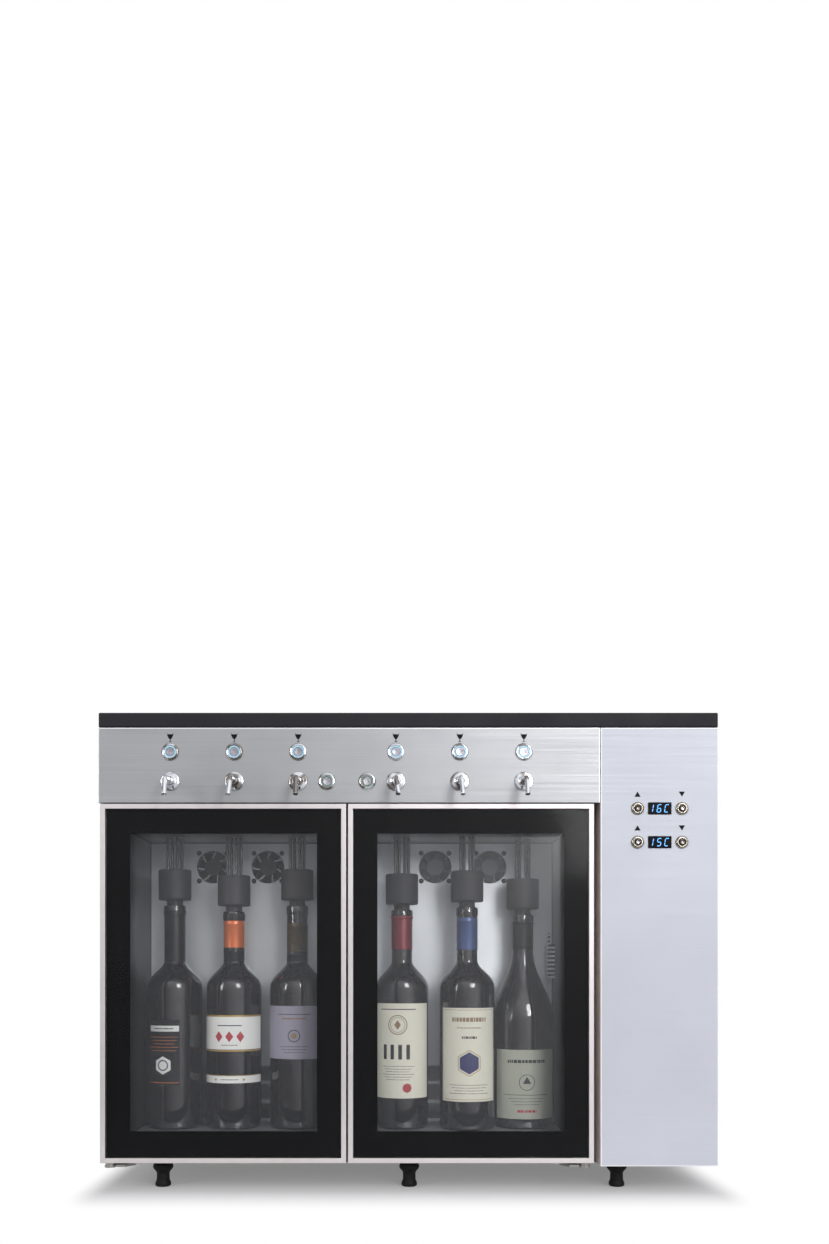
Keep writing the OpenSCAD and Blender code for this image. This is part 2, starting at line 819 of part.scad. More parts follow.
// Half outline of a bottle, as points of radius and height: S-shaped shoulders to the neck
function shoulder(b, inset) =
    let(r0 = b[2] - inset, r1 = neck_r - inset, z0 = b[4] ? 150 : 190, z1 = b[4] ? 246 : 231,
        power = b[4] ? 0.95 : 1.35)
    [for (i = [0:10]) let(t = i / 10)
        [r1 + (r0 - r1) * (1 + cos(180 * pow(t, power))) / 2, z0 + (z1 - z0) * t]];

module glass_bottle(b) {
    h = b[3];
    lip_r = neck_r + lip_proud;
    inner = bottle_wall;
    heel = 5;
    rotate_extrude()
        polygon([
            [0, punt_h], [b[2] * 0.45, punt_h * 0.55], [b[2] - heel - 3, 0], [b[2] - heel, 0],
            for (p = arc(heel, -60, 0, 3)) [b[2] - heel, heel] + p,
            for (p = shoulder(b, 0)) p,
            [neck_r, h - lip_band], [lip_r, h - lip_band], [lip_r, h - 2], [lip_r - 1.2, h],
            [mouth_r, h], [mouth_r, h - 30],
            for (i = [10:-1:0]) shoulder(b, inner)[i],
            [b[2] - inner, heel + inner], [b[2] - heel - inner, inner + 1],
            [b[2] * 0.45, punt_h * 0.55 + inner], [0, punt_h + inner]
        ]);
}

module wine_fill(b) {
    skin = bottle_wall + nest;
    fill = b[3] - fill_drop;
    rotate_extrude()
        difference() {
            polygon([
                [0, punt_h + skin], [b[2] * 0.45, punt_h * 0.55 + skin], [b[2] - 5 - skin, skin + 1],
                [b[2] - skin, 5 + skin],
                for (p = shoulder(b, skin)) if (p[1] < fill) p,
                [mouth_r - nest, fill], [0, fill]
            ]);
            // Room for the dip tube
            translate([0, dip_clear + punt_h])
                square([dip_r + clear, b[3]]);
        }
}

module bottles() {
    color("#1f2422", 0.8)
    for (i = [0:5])
        translate([bottle_x[i], bottle_y[i], floor_z])
            glass_bottle(bottle_of[i]);
}

module wine() {
    color("#2a0a10")
    for (i = [0:5])
        translate([bottle_x[i], bottle_y[i], floor_z])
            wine_fill(bottle_of[i]);
}

// Cap of one bottle: housing, stopper, dip tube and riser tubes, each a solid of its own
module bottle_cap(i) {
    base = lip_z[i] + stopper_h;
    top = base + cap_h;
    chamfer = 1.2;
    riser_r = riser_d / 2;
    color("#2b2c2e")
    translate([bottle_x[i], bottle_y[i], 0]) {
        difference() {
            translate([0, 0, base])
                rotate_extrude()
                    polygon([[0, 0], [cap_d / 2 - chamfer, 0], [cap_d / 2, chamfer],
                        [cap_d / 2, cap_h - chamfer], [cap_d / 2 - chamfer, cap_h], [0, cap_h]]);
            translate([0, 0, base - 1])
                cylinder(h = spigot_len + 1 + nest, r = spigot_r + nest);
            translate([0, 0, base])
                cylinder(h = spigot_len + 10, r = dip_r + nest);
            for (p = riser_spots)
                translate([p[0], p[1], top - socket_depth])
                    cylinder(h = socket_depth + 1, r = riser_r + nest);
        }
        difference() {
            union() {
                translate([0, 0, lip_z[i] - plug_len])
                    cylinder(h = plug_len + seat_gap, r1 = plug_r - 1, r2 = plug_r);
                translate([0, 0, lip_z[i] + seat_gap])
                    cylinder(h = stopper_h - seat_gap, r = stopper_r);
                translate([0, 0, base])
                    cylinder(h = spigot_len, r = spigot_r);
            }
            translate([0, 0, lip_z[i] - plug_len - 1])
                cylinder(h = plug_len + stopper_h + spigot_len + 2, r = dip_r + nest);
        }
        translate([0, 0, floor_z + dip_clear + punt_h + 3])
            cylinder(h = base + spigot_len + 9 - floor_z - dip_clear - punt_h - 3, r = dip_r);
        for (p = riser_spots)
            translate([p[0], p[1], top - socket_depth + nest])
                cylinder(h = riser_top - top + socket_depth - nest, r = riser_r);
    }
}

module bottle_cap_1() { bottle_cap(0); }
module bottle_cap_2() { bottle_cap(1); }
module bottle_cap_3() { bottle_cap(2); }
module bottle_cap_4() { bottle_cap(3); }
module bottle_cap_5() { bottle_cap(4); }
module bottle_cap_6() { bottle_cap(5); }

module temperature_probes() {
    rib_n = 8;
    rib_pitch = 6;
    color("#e4e6e6")
    for (cx = chamber_x) {
        wall = cx + chamber_w / 2;
        z0 = floor_z + 206;
        y = behind(fan_wall - 17);
        block([wall - 6, wall - clear], [y - 4, y + 4], [z0, z0 + rib_n * rib_pitch]);
        for (i = [0:rib_n - 1])
            block([wall - 13, wall - 5], [y - 6, y + 6], [z0 + i * rib_pitch, z0 + i * rib_pitch + 3]);
        translate([wall - 8, y, z0 - 14])
            cylinder(h = rib_n * rib_pitch + 30, r = 1.5);
    }
}

// Chamber fans --------------------------------------------------------------

fan_x = [for (cx = chamber_x) for (s = [-1, 1]) cx + s * fan_offset];
fan_y0 = behind(fan_wall + liner);

module fan_frames() {
    bore = fan_hole_d / 2;
    strut_w = 3;
    hub_t = 3;
    boss_r = 3.2;
    color("#2c2e30")
    for (x = fan_x)
        translate([x, fan_y0, fan_z])
            rotate([-90, 0, 0])
                difference() {
                    union() {
                        difference() {
                            translate([-fan_side / 2, -fan_side / 2, 0])
                                linear_extrude(fan_depth)
                                    polygon(round_rect(fan_side, fan_side, 3));
                            translate([0, 0, -1])
                                cylinder(h = fan_depth + 2, r = bore);
                        }
                        for (a = [0, 120, 240])
                            rotate([0, 0, a])
                                translate([-strut_w / 2, hub_r - 1, fan_depth - hub_t])
                                    cube([strut_w, bore + 1.5 - hub_r, hub_t]);
                        translate([0, 0, fan_depth - hub_t])
                            cylinder(h = hub_t, r = hub_r);
                        translate([0, 0, fan_depth - hub_t - 5])
                            cylinder(h = 5.5, r = boss_r);
                    }
                    translate([0, 0, fan_depth - hub_t - 6])
                        cylinder(h = hub_t + 5, r = axle_r + running);
                    for (a = [-1, 1])
                        for (b = [-1, 1])
                            translate([a * fan_screw, b * fan_screw, -1])
                                cylinder(h = fan_depth + 2, r = screw_hole_r);
                }
}

// A fan rotor about Z: hub cup, blades and axle
module rotor(hub, tip, depth, n, pitch, axle, axle_len) {
    blade_t = 1.2;
    difference() {
        union() {
            translate([0, 0, 0.8])
                cylinder(h = depth - 0.8, r = hub);
            intersection() {
                for (k = [0:n - 1])
                    rotate([0, 0, k * 360 / n])
                        translate([0, hub - 1, depth / 2 + 0.4])
                            rotate([0, pitch, 0])
                                translate([-depth, 0, -blade_t / 2])
                                    cube([2 * depth, tip, blade_t]);
                translate([0, 0, 1])
                    cylinder(h = depth - 1.2, r = tip);
            }
        }
        // Hollow of the hub, open towards the struts
        translate([0, 0, 2.4])
            cylinder(h = depth, r = hub - 1.5);
    }
    translate([0, 0, 1])
        cylinder(h = axle_len, r = axle);
}

module fan_rotor(i) {
    color("#1c1d1f")
    translate([fan_x[i], fan_y0, fan_z])
        rotate([-90, 0, 0])
            rotor(hub_r, fan_hole_d / 2 - rotor_tip, fan_depth - 4, blade_n, 38, axle_r, fan_depth - 3);
}

module fan_rotor_1() { fan_rotor(0); }
module fan_rotor_2() { fan_rotor(1); }
module fan_rotor_3() { fan_rotor(2); }
module fan_rotor_4() { fan_rotor(3); }

// Feet ----------------------------------------------------------------------

module levelling_feet() {
    color("#17181a")
    for (x = foot_x)
        for (y = foot_y)
            translate([x, y, 0])
                rotate_extrude()
                    polygon([
                        [0, 0], [8.5, 0], [10.2, 1.2], [10.5, 4], [9.6, 6.5], [8.6, 9], [8.4, foot_h - 17],
                        [9.5, foot_h - 14.5], [12.6, foot_h - 11], [13.5, foot_h - 8.5], [12.8, foot_h - 5.5],
                        [11.5, foot_h - 3.5], [11.5, foot_h],
                        [stud_r, foot_h], [stud_r, stud_top], [0, stud_top]
                    ]);
}

// Cooling, gas and electrics --------------------------------------------------

module evaporators() {
    y = [behind(fan_wall + fan_depth + 24), behind(liner_back - 14)];
    mid_y = (y[0] + y[1]) / 2;
    z = [floor_z + 90, floor_z + 290];
    half_w = 90;
    fin_n = 16;
    tube_r = 4;
    rows = 4;
    row_pitch = (z[1] - z[0]) / rows;
    color("#c9a17a")
    for (cx = chamber_x) {
        // End plates that stand off the liner's back wall
        for (s = [-1, 1])
            block([cx + s * half_w - 0.75, cx + s * half_w + 0.75], [y[0], behind(liner_back - clear)], z);
        for (k = [1:fin_n - 1])
            block([cx - half_w + k * 2 * half_w / fin_n - 0.25, cx - half_w + k * 2 * half_w / fin_n + 0.25],
                y, [z[0] + 2, z[1] - 2]);
        for (r = [0:rows - 1])
            rod_x(mid_y, z[0] + (r + 0.5) * row_pitch, tube_r, [cx - half_w - 6, cx + half_w + 6]);
        for (r = [0:rows - 2]) {
            s = r % 2 == 0 ? 1 : -1;
            translate([cx + s * (half_w + 5.9), mid_y, z[0] + (r + 1) * row_pitch])
                rotate([90, 0, 0])
                    rotate([0, 0, s * 90 - 180])
                        rotate_extrude(angle = 180)
                            translate([row_pitch / 2, 0])
                                circle(r = tube_r);
        }
    }
}

module wine_valves() {
    coil_r = 9;
    color("#6d7075")
    for (x = tap_x) {
        block([x - valve_w / 2, x + valve_w / 2], [behind(shank_len), behind(shank_len + valve_len)],
            [spout_z - 12, spout_z + 12]);
        // Solenoid coil under the valve body, down to the lower edge of the fascia
        translate([x, behind(shank_len + valve_len / 2), plenum_z + sheet])
            cylinder(h = spout_z - 12 - plenum_z - sheet, r = coil_r);
    }
}

module gas_manifold() {
    y = [behind(manifold_at), behind(manifold_at + manifold_w)];
    color("#8f9296") {
        block(manifold_x, y, [plenum_z, plenum_z + manifold_w]);
        for (x = tap_x) {
            translate([x, behind(manifold_at + manifold_w / 2), plenum_z + manifold_w])
                cylinder(h = 26, r = 8);
            rod_y(x, plenum_z + manifold_w / 2, 3.2, [behind(manifold_at - 6), behind(manifold_at)]);
        }
        // Pressure regulator at the gas inlet's end
        translate([manifold_x[1], behind(manifold_at + manifold_w / 2), plenum_z + manifold_w / 2])
            rotate([0, 90, 0])
                cylinder(h = 34, r1 = 14, r2 = 11);
    }
}

// A hose as a mesh tube: rings of points round a cubic curve from p0 to p3
function curve(p, t) =
    pow(1 - t, 3) * p[0] + 3 * t * pow(1 - t, 2) * p[1] + 3 * t * t * (1 - t) * p[2] + pow(t, 3) * p[3];
function unit(v) = v / norm(v);

module hose(p, r) {
    rings = 12;
    sides = 8;
    axis_of = [for (i = [0:rings])
        i == 0 ? unit(p[1] - p[0])
        : i == rings ? unit(p[3] - p[2])
        : unit(curve(p, (i + 0.5) / rings) - curve(p, (i - 0.5) / rings))];
    points = [for (i = [0:rings]) for (k = [0:sides - 1])
        let(n = unit(cross(axis_of[i], [1, 0, 0])), b = cross(axis_of[i], n))
        curve(p, i / rings) + r * (cos(360 * k / sides) * n + sin(360 * k / sides) * b)];
    last = rings * sides;
    faces = [
        [for (k = [0:sides - 1]) k],
        for (i = [0:rings - 1]) for (k = [0:sides - 1])
            let(a = i * sides + k, b = i * sides + (k + 1) % sides)
            [a, a + sides, b],
        for (i = [0:rings - 1]) for (k = [0:sides - 1])
            let(a = i * sides + k, b = i * sides + (k + 1) % sides)
            [b, a + sides, b + sides],
        [for (k = [sides - 1:-1:0]) last + k]
    ];
    polyhedron(points, faces);
}

module wine_lines() {
    up = 60;
    color("#dfe3e4")
    for (i = [0:5]) {
        wine_end = [bottle_x[i] + riser_spots[0][0], bottle_y[i] + riser_spots[0][1], riser_top];
        gas_end = [bottle_x[i] + riser_spots[3][0], bottle_y[i] + riser_spots[3][1], riser_top];
        valve_out = [tap_x[i], behind(shank_len + valve_len), spout_z];
        gas_out = [tap_x[i], behind(manifold_at - 6), plenum_z + manifold_w / 2];
        hose([valve_out, valve_out + [0, 35, 0], wine_end + [0, 0, up], wine_end], hose_r);
        hose([gas_out, gas_out - [0, 12, 0], gas_end + [0, 0, up], gas_end], hose_r - 0.25);
    }
}

module compressor() {
    r = 52;
    h = 128;
    foot_t = 10;
    pipe_r = 3;
    pipe_bend = 14;
    pipe_at = r - 12;
    run_z = condenser_z + condenser_w + pipe_r + nest - tray_z;
    color("#1d1e20")
    translate([tech_mid, behind(compressor_at), tray_z]) {
        translate([0, 0, foot_t + 3])
            rotate_extrude()
                polygon([
                    [0, 0], [r - 14, 0], for (p = arc(14, -60, 0, 3)) [r - 14, 14] + p,
                    for (p = arc(22, 0, 80, 4)) [r - 22, h - 22] + p, [0, h + 2]
                ]);
        translate([-62, -50, foot_t])
            cube([124, 100, 3]);
        for (a = [-1, 1])
            for (b = [-1, 1])
                translate([a * 52, b * 40, 0])
                    cylinder(h = foot_t, r = 7);
        // Discharge pipe that rises from the shell and turns back onto the condenser's top
        translate([0, pipe_at, 0])
            rotate([0, 0, 180]) {
                translate([0, 0, h - 10])
                    cylinder(h = run_z - pipe_bend - h + 10, r = pipe_r);
                translate([0, 0, run_z - pipe_bend])
                    bend(pipe_r, pipe_bend, 90);
                translate([0, -pipe_bend, run_z])
                    rotate([90, 0, 0])
                        cylinder(h = condenser_at + 8 - compressor_at - pipe_at - pipe_bend, r = pipe_r);
            }
    }
}

module condenser() {
    core_t = 36;
    x = [tech_mid - condenser_w / 2, tech_mid + condenser_w / 2];
    z = [condenser_z, condenser_z + condenser_w];
    y = [behind(condenser_at), behind(condenser_at + core_t)];
    shroud_t = 22;
    bearing_r = 18;
    fin_n = 24;
    color("#3a3c3f") {
        ring_frame(x, y, z, 4);
        for (k = [1:fin_n - 1])
            block([x[0] + k * condenser_w / fin_n - 0.4, x[0] + k * condenser_w / fin_n + 0.4], y,
                [z[0] + 3, z[1] - 3]);
        for (k = [0:4])
            rod_x((y[0] + y[1]) / 2, z[0] + 13 + k * 25, 4, [x[0] + 1, x[1] - 1]);
        // Legs down to the tray
        for (s = [-1, 1])
            block([tech_mid + s * (condenser_w / 2 - 6) - 6, tech_mid + s * (condenser_w / 2 - 6) + 6],
                [y[0], y[0] + 2], [tray_z, condenser_z]);
        // Fan shroud in front of the fins, with the bearing on three struts
        translate([tech_mid, behind(condenser_at - shroud_t), cooler_z])
            rotate([-90, 0, 0])
                difference() {
                    union() {
                        difference() {
                            translate([-condenser_w / 2, -condenser_w / 2, 0])
                                linear_extrude(shroud_t)
                                    polygon(round_rect(condenser_w, condenser_w, 6));
                            translate([0, 0, -1])
                                cylinder(h = shroud_t + 2, r = cooler_d / 2);
                        }
                        for (a = [0:120:240])
                            rotate([0, 0, a])
                                translate([-3, bearing_r - 1, shroud_t - 4])
                                    cube([6, cooler_d / 2 + 2 - bearing_r, 4]);
                        translate([0, 0, shroud_t - 4])
                            cylinder(h = 4, r = bearing_r);
                        translate([0, 0, shroud_t - 10])
                            cylinder(h = 6.5, r = 5);
                    }
                    translate([0, 0, shroud_t - 11])
                        cylinder(h = 10, r = 2.5 + running);
                }
    }
}

module condenser_fan_rotor() {
    color("#26282b")
    translate([tech_mid, behind(condenser_at - 22), cooler_z])
        rotate([-90, 0, 0])
            rotor(20, cooler_d / 2 - 2, 16, 5, 30, 2.5, 19);
}

module control_electronics() {
    board_at = 34;
    board_x = [tech_in + 8, in_right - 8];
    board_z = [temp_z[1] - 40, temp_z[0] + 34];
    supply_z = [floor_z + 230, floor_z + 330];
    color("#2f5d3a") {
        block(board_x, [behind(board_at), behind(board_at + 1.6)], board_z);
        // Stand-offs on the back of the technical panel
        for (x = [board_x[0] + 6, board_x[1] - 6])
            for (z = [board_z[0] + 6, board_z[1] - 6])
                rod_y(x, z, 3, [behind(sheet), behind(board_at)]);
        for (k = [0:3])
            block([board_x[0] + 14 + 28 * k, board_x[0] + 30 + 28 * k],
                [behind(board_at + 1.6), behind(board_at + 16)], [board_z[0] + 12, board_z[0] + 30]);
        block([board_x[0] + 20, board_x[0] + 50], [behind(board_at + 1.6), behind(board_at + 6)],
            [board_z[0] + 50, board_z[0] + 80]);
    }
    // Power supply, screwed to the partition wall
    color("#8a8d90")
    block([tech_in, tech_in + 42], [behind(150), behind(250)], supply_z);
}

// A block of width w and height h at the mains inlet's height, from y[0] to y[1] behind the back panel
module plate_at(x, w, h, y) {
    block([x - w / 2, x + w / 2], [back_y + y[0], back_y + y[1]], [inlet_z - h / 2, inlet_z + h / 2]);
}

module rear_connections() {
    color("#202124") {
        // Mains inlet: flange, body and the well with three pins
        difference() {
            union() {
                plate_at(inlet_x, 50, 28, [0, 3.5]);
                plate_at(inlet_x, 27, 23, [-16, 0]);
            }
            plate_at(inlet_x, 24, 17, [-13, 5]);
        }
        for (p = [[-7, 2], [0, -2], [7, 2]])
            block([inlet_x + p[0] - 1, inlet_x + p[0] + 1], [back_y - 14, back_y - 1],
                [inlet_z + p[1] - 2, inlet_z + p[1] + 2]);
        // Rocker frame, open in the middle, with the rocker's two bearing holes
        difference() {
            plate_at(switch_x, 20, 28, [0, 2]);
            plate_at(switch_x, 13, 21, [-1, 3]);
        }
        difference() {
            plate_at(switch_x, 13.4, 21.4, [-14, 0]);
            plate_at(switch_x, 10.6, 19.2, [-12.5, 1]);
            rod_x(back_y - 3, inlet_z, 1 + running, [switch_x - 7, switch_x + 7]);
        }
    }
    // Gas inlet: push-in fitting for an 8 mm hose
    color("#c2c4c6")
    difference() {
        union() {
            rod_y(gas_x, gas_z, 8, [back_y, back_y + rear_reach]);
            rod_y(gas_x, gas_z, 6, [back_y - 22, back_y]);
            rod_y(gas_x, gas_z, 10, [back_y - sheet - 4, back_y - sheet]);
        }
        rod_y(gas_x, gas_z, gas_bore_r, [back_y, back_y + rear_reach + 1]);
        rod_y(gas_x, gas_z, 2.5, [back_y - 23, back_y + 1]);
    }
}

// Rocker, shown pressed at its lower end
module power_switch() {
    half = 8.4;
    tilt = 9;
    color("#8e1b1b") {
        translate([switch_x - 4.8, back_y - 3, inlet_z])
            rotate([-tilt, 0, 0])
                rotate([0, 90, 0])
                    linear_extrude(9.6)
                        polygon([[-half, 4.6], [0, 3.4], [half, 4.6], [half - 1, 2], [3, -4], [-3, -4],
                            [-half + 1, 2]]);
        rod_x(back_y - 3, inlet_z, 1, [switch_x - 6.4, switch_x + 6.4]);
    }
}

module panel_screws() {
    head_r = 3.5;
    // Their spacing stays clear of the mains and gas fittings
    xs = [left_x + 40, left_x + 240, right_x - 320, right_x - 40];
    color("#c9cacc") {
        // Back panel, along its top and bottom edges
        for (x = xs)
            for (z = [foot_h + 8, case_top - 10])
                translate([x, back_y, z])
                    rotate([-90, 0, 0])
                        cylinder(h = 2, r1 = head_r, r2 = head_r - 0.8);
        // Screws that hold the fan frames to the fan panels
        for (x = fan_x)
            for (a = [-1, 1])
                for (b = [-1, 1]) {
                    translate([x + a * fan_screw, behind(fan_wall) - 1.6, fan_z + b * fan_screw])
                        rotate([-90, 0, 0])
                            cylinder(h = 1.6, r1 = 2.2, r2 = 2.8);
                    rod_y(x + a * fan_screw, fan_z + b * fan_screw, 1.5,
                        [behind(fan_wall) - 0.1, behind(fan_wall + fan_depth - 2)]);
                }
    }
}

worktop();
base_tray();
side_panel_left();
side_panel_right();
back_panel();
control_fascia();
tech_front_panel();
partition_wall();
chamber_liners();
insulation();
fan_panels();
bottles();
wine();
bottle_cap_1();
bottle_cap_2();
bottle_cap_3();
bottle_cap_4();
bottle_cap_5();
bottle_cap_6();
spouts();
button_bezels();
light_rings();
dispense_button_1();
dispense_button_2();
dispense_button_3();
dispense_button_4();
dispense_button_5();
dispense_button_6();
light_button_left();
light_button_right();
temp_button_1();
temp_button_2();
temp_button_3();
temp_button_4();
display_modules();
door_frame_left();
door_frame_right();
door_glass_left();
door_glass_right();
door_gasket_left();
door_gasket_right();
hinge_brackets();
fan_frames();
fan_rotor_1();
fan_rotor_2();
fan_rotor_3();
fan_rotor_4();
levelling_feet();
evaporators();
wine_valves();
gas_manifold();
compressor();
condenser();
condenser_fan_rotor();
control_electronics();
rear_connections();
power_switch();
temperature_probes();
wine_lines();
panel_screws();
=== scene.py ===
# %% [markdown]
# # A wine preservation dispenser
# The real object is a steel cabinet for a bar counter. Six opened bottles stand in two cooled chambers
# behind glass doors, and each pours through a spout when its lit button is pressed. The sheet metal,
# doors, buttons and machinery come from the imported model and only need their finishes. What a maker would
# add by hand is built here: the panes with their printed borders, the lathed bottles with labels, the
# printed signs, the display digits and the screws.

import json
import math
import random

import bmesh
import bpy
from mathutils import Matrix, Vector


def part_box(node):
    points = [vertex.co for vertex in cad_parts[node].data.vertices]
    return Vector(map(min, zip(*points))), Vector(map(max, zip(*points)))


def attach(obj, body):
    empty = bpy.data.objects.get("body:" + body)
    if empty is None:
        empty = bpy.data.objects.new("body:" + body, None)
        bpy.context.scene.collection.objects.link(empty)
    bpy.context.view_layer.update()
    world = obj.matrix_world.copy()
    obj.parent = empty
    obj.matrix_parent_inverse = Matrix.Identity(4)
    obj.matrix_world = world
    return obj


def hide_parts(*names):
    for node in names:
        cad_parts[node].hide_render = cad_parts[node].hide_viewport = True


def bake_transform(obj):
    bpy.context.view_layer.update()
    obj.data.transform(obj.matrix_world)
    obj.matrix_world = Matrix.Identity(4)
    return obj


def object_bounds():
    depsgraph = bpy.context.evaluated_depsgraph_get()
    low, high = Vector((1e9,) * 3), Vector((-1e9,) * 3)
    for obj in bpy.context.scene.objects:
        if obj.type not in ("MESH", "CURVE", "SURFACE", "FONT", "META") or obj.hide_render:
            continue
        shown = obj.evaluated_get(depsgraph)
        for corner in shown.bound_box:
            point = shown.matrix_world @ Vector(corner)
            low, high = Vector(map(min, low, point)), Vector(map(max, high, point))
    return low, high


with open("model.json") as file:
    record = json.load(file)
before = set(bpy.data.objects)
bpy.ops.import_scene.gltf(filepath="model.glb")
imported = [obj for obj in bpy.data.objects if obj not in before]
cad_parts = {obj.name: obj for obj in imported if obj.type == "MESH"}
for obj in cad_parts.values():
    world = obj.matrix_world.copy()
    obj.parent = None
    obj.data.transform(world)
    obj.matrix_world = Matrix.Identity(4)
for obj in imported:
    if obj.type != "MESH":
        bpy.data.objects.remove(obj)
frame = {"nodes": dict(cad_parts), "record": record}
cad_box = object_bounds()
MM = 0.001
nodes = frame["nodes"]

# %% [markdown]
# ## Camera first
# The photograph was taken from about 1.4 m, low enough to look straight at the bottles, with the lens
# shifted up. A shifted lens keeps upright edges parallel, so the camera stays level and only its frame
# moves. The sizes below are the picture's own pixels and the focal length that fits the object's known
# width.

# %% Set the camera
PHOTO_W = 829
PHOTO_H = 1244
AXIS_PX = (390, 970)
FOCAL_PX = 1085.7
EYE = (-0.0236, -1.5515, 0.2877)
SENSOR_MM = 36

camera_data = bpy.data.cameras.new("camera")
camera = bpy.data.objects.new("camera", camera_data)
bpy.context.collection.objects.link(camera)
bpy.context.scene.camera = camera
camera.location = EYE
camera.rotation_euler = (math.radians(90), 0, 0)
camera_data.sensor_width = SENSOR_MM
camera_data.lens = FOCAL_PX / PHOTO_H * SENSOR_MM
camera_data.shift_x = (PHOTO_W / 2 - AXIS_PX[0]) / PHOTO_H
camera_data.shift_y = (AXIS_PX[1] - PHOTO_H / 2) / PHOTO_H
print("lens", round(camera_data.lens, 2), "mm")

# %% [markdown]
# ## Places that everything else is measured from
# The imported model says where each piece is. Reading its boxes once, and working from them, keeps every
# added piece on what carries it when a size of the cabinet changes.

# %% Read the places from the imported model
front_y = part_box("control_fascia")[0].y
door_box = {side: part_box("door_frame_" + side) for side in ("left", "right")}
pane_box = {side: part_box("door_glass_" + side) for side in ("left", "right")}


def middle(node):
    """The middle of a node's box."""
    low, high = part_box(node)
    return (low + high) / 2


buttons = [middle(f"dispense_button_{i}") for i in range(1, 7)]
print("first button at", [round(v, 4) for v in buttons[0]])

# %% [markdown]
# ## Helpers for materials
# Every finish here is a small node tree round one Principled shader. The same few building blocks come
# back in most of them: a noise read in the object's own coordinates, stretched along one axis for brushed
# metal, a ramp that turns it into a narrow range of colour or roughness, and a bump. The helpers only
# save typing. The steps that the light of the room needs too, further down, are in a class of their own.
# Every finish is entered in one table under its name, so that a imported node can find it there.

# %% Colour helpers
WHITE = (1, 1, 1, 1)


def linear(hex_colour):
    """The linear colour of a screen colour written as #rrggbb."""
    channels = [int(hex_colour[i:i + 2], 16) / 255 for i in (1, 3, 5)]
    return [c / 12.92 if c <= 0.04045 else ((c + 0.055) / 1.055) ** 2.4 for c in channels] + [1.0]


def shade(colour, factor):
    """A colour made lighter or darker."""
    return [min(1.0, c * factor) for c in colour[:3]] + [1.0]


print("screen grey #808080 is", round(linear("#808080")[0], 3), "in linear light")


# %% Node tree helpers
def set_values(node, values):
    """Sets a node's inputs or properties by name; coat_weight, for one, is the input Coat Weight."""
    for key, value in values.items():
        name = key.replace("_", " ").title().replace("Ior", "IOR")
        if name in node.inputs:
            node.inputs[name].default_value = value
        else:
            setattr(node, key, value)


class NodeRecipe:
    """A node tree, with the steps that most finishes and the light of the room share."""

    def __init__(self, tree):
        """Keeps the tree and the place that every pattern is read at."""
        self.tree = tree
        self.place = self.node("ShaderNodeTexCoord").outputs["Object"]

    def node(self, kind, **values):
        """A new node, with its properties or inputs set by name."""
        made = self.tree.nodes.new(kind)
        set_values(made, values)
        return made

    def link(self, source, target):
        """Joins an output to an input."""
        self.tree.links.new(source, target)

    def feed(self, sockets, values):
        """Fills inputs in turn; each value may be a plain one or an output to join."""
        for socket, value in zip(sockets, values):
            if hasattr(value, "links"):
                self.link(value, socket)
            else:
                socket.default_value = value

    def math(self, operation, *values):
        """A calculation with one or two numbers."""
        made = self.node("ShaderNodeMath", operation=operation)
        self.feed(made.inputs, values)
        return made.outputs[0]

    def vector(self, operation, *values):
        """A calculation with one or two vectors."""
        made = self.node("ShaderNodeVectorMath", operation=operation)
        self.feed(made.inputs, values)
        return made.outputs["Value" if operation in ("LENGTH", "DOT_PRODUCT") else "Vector"]

    def between(self, value, start, end, low=0.0, high=1.0, kind="SMOOTHSTEP"):
        """Goes from low to high while value goes from start to end."""
        made = self.node("ShaderNodeMapRange", interpolation_type=kind, from_min=start, from_max=end,
                         to_min=low, to_max=high)
        self.link(value, made.inputs["Value"])
        return made.outputs["Result"]

    def split(self):
        """The X, Y and Z of the place, as outputs with those names."""
        made = self.node("ShaderNodeSeparateXYZ")
        self.link(self.place, made.inputs["Vector"])
        return made.outputs

    def noise(self, stretch, detail=2.0, rough=0.5):
        """Noise read at stretch features per metre along each axis."""
        mapping = self.node("ShaderNodeMapping", scale=stretch)
        self.link(self.place, mapping.inputs["Vector"])
        noise = self.node("ShaderNodeTexNoise", scale=1.0, detail=detail, roughness=rough)
        self.link(mapping.outputs["Vector"], noise.inputs["Vector"])
        return noise.outputs["Fac"]

    def ramp(self, source, low, high, start=0.3, end=0.7):
        """Turns a value into a blend between two colours or two numbers."""
        ramp = self.node("ShaderNodeValToRGB")
        self.link(source, ramp.inputs["Fac"])
        for element, at, value in zip(ramp.color_ramp.elements, (start, end), (low, high)):
            element.position = at
            element.color = value if hasattr(value, "__len__") else (value, value, value, 1)
        return ramp.outputs["Color"]

    def mix(self, factor, low, high, blend="MIX"):
        """A colour mix; each of the three may be a plain value or an output."""
        mix = self.node("ShaderNodeMix", data_type="RGBA", blend_type=blend)
        self.feed((mix.inputs[0], mix.inputs[6], mix.inputs[7]), (factor, low, high))
        return mix.outputs[2]


print("node tree helpers ready")


# %% Finish helper
finish_of = {}


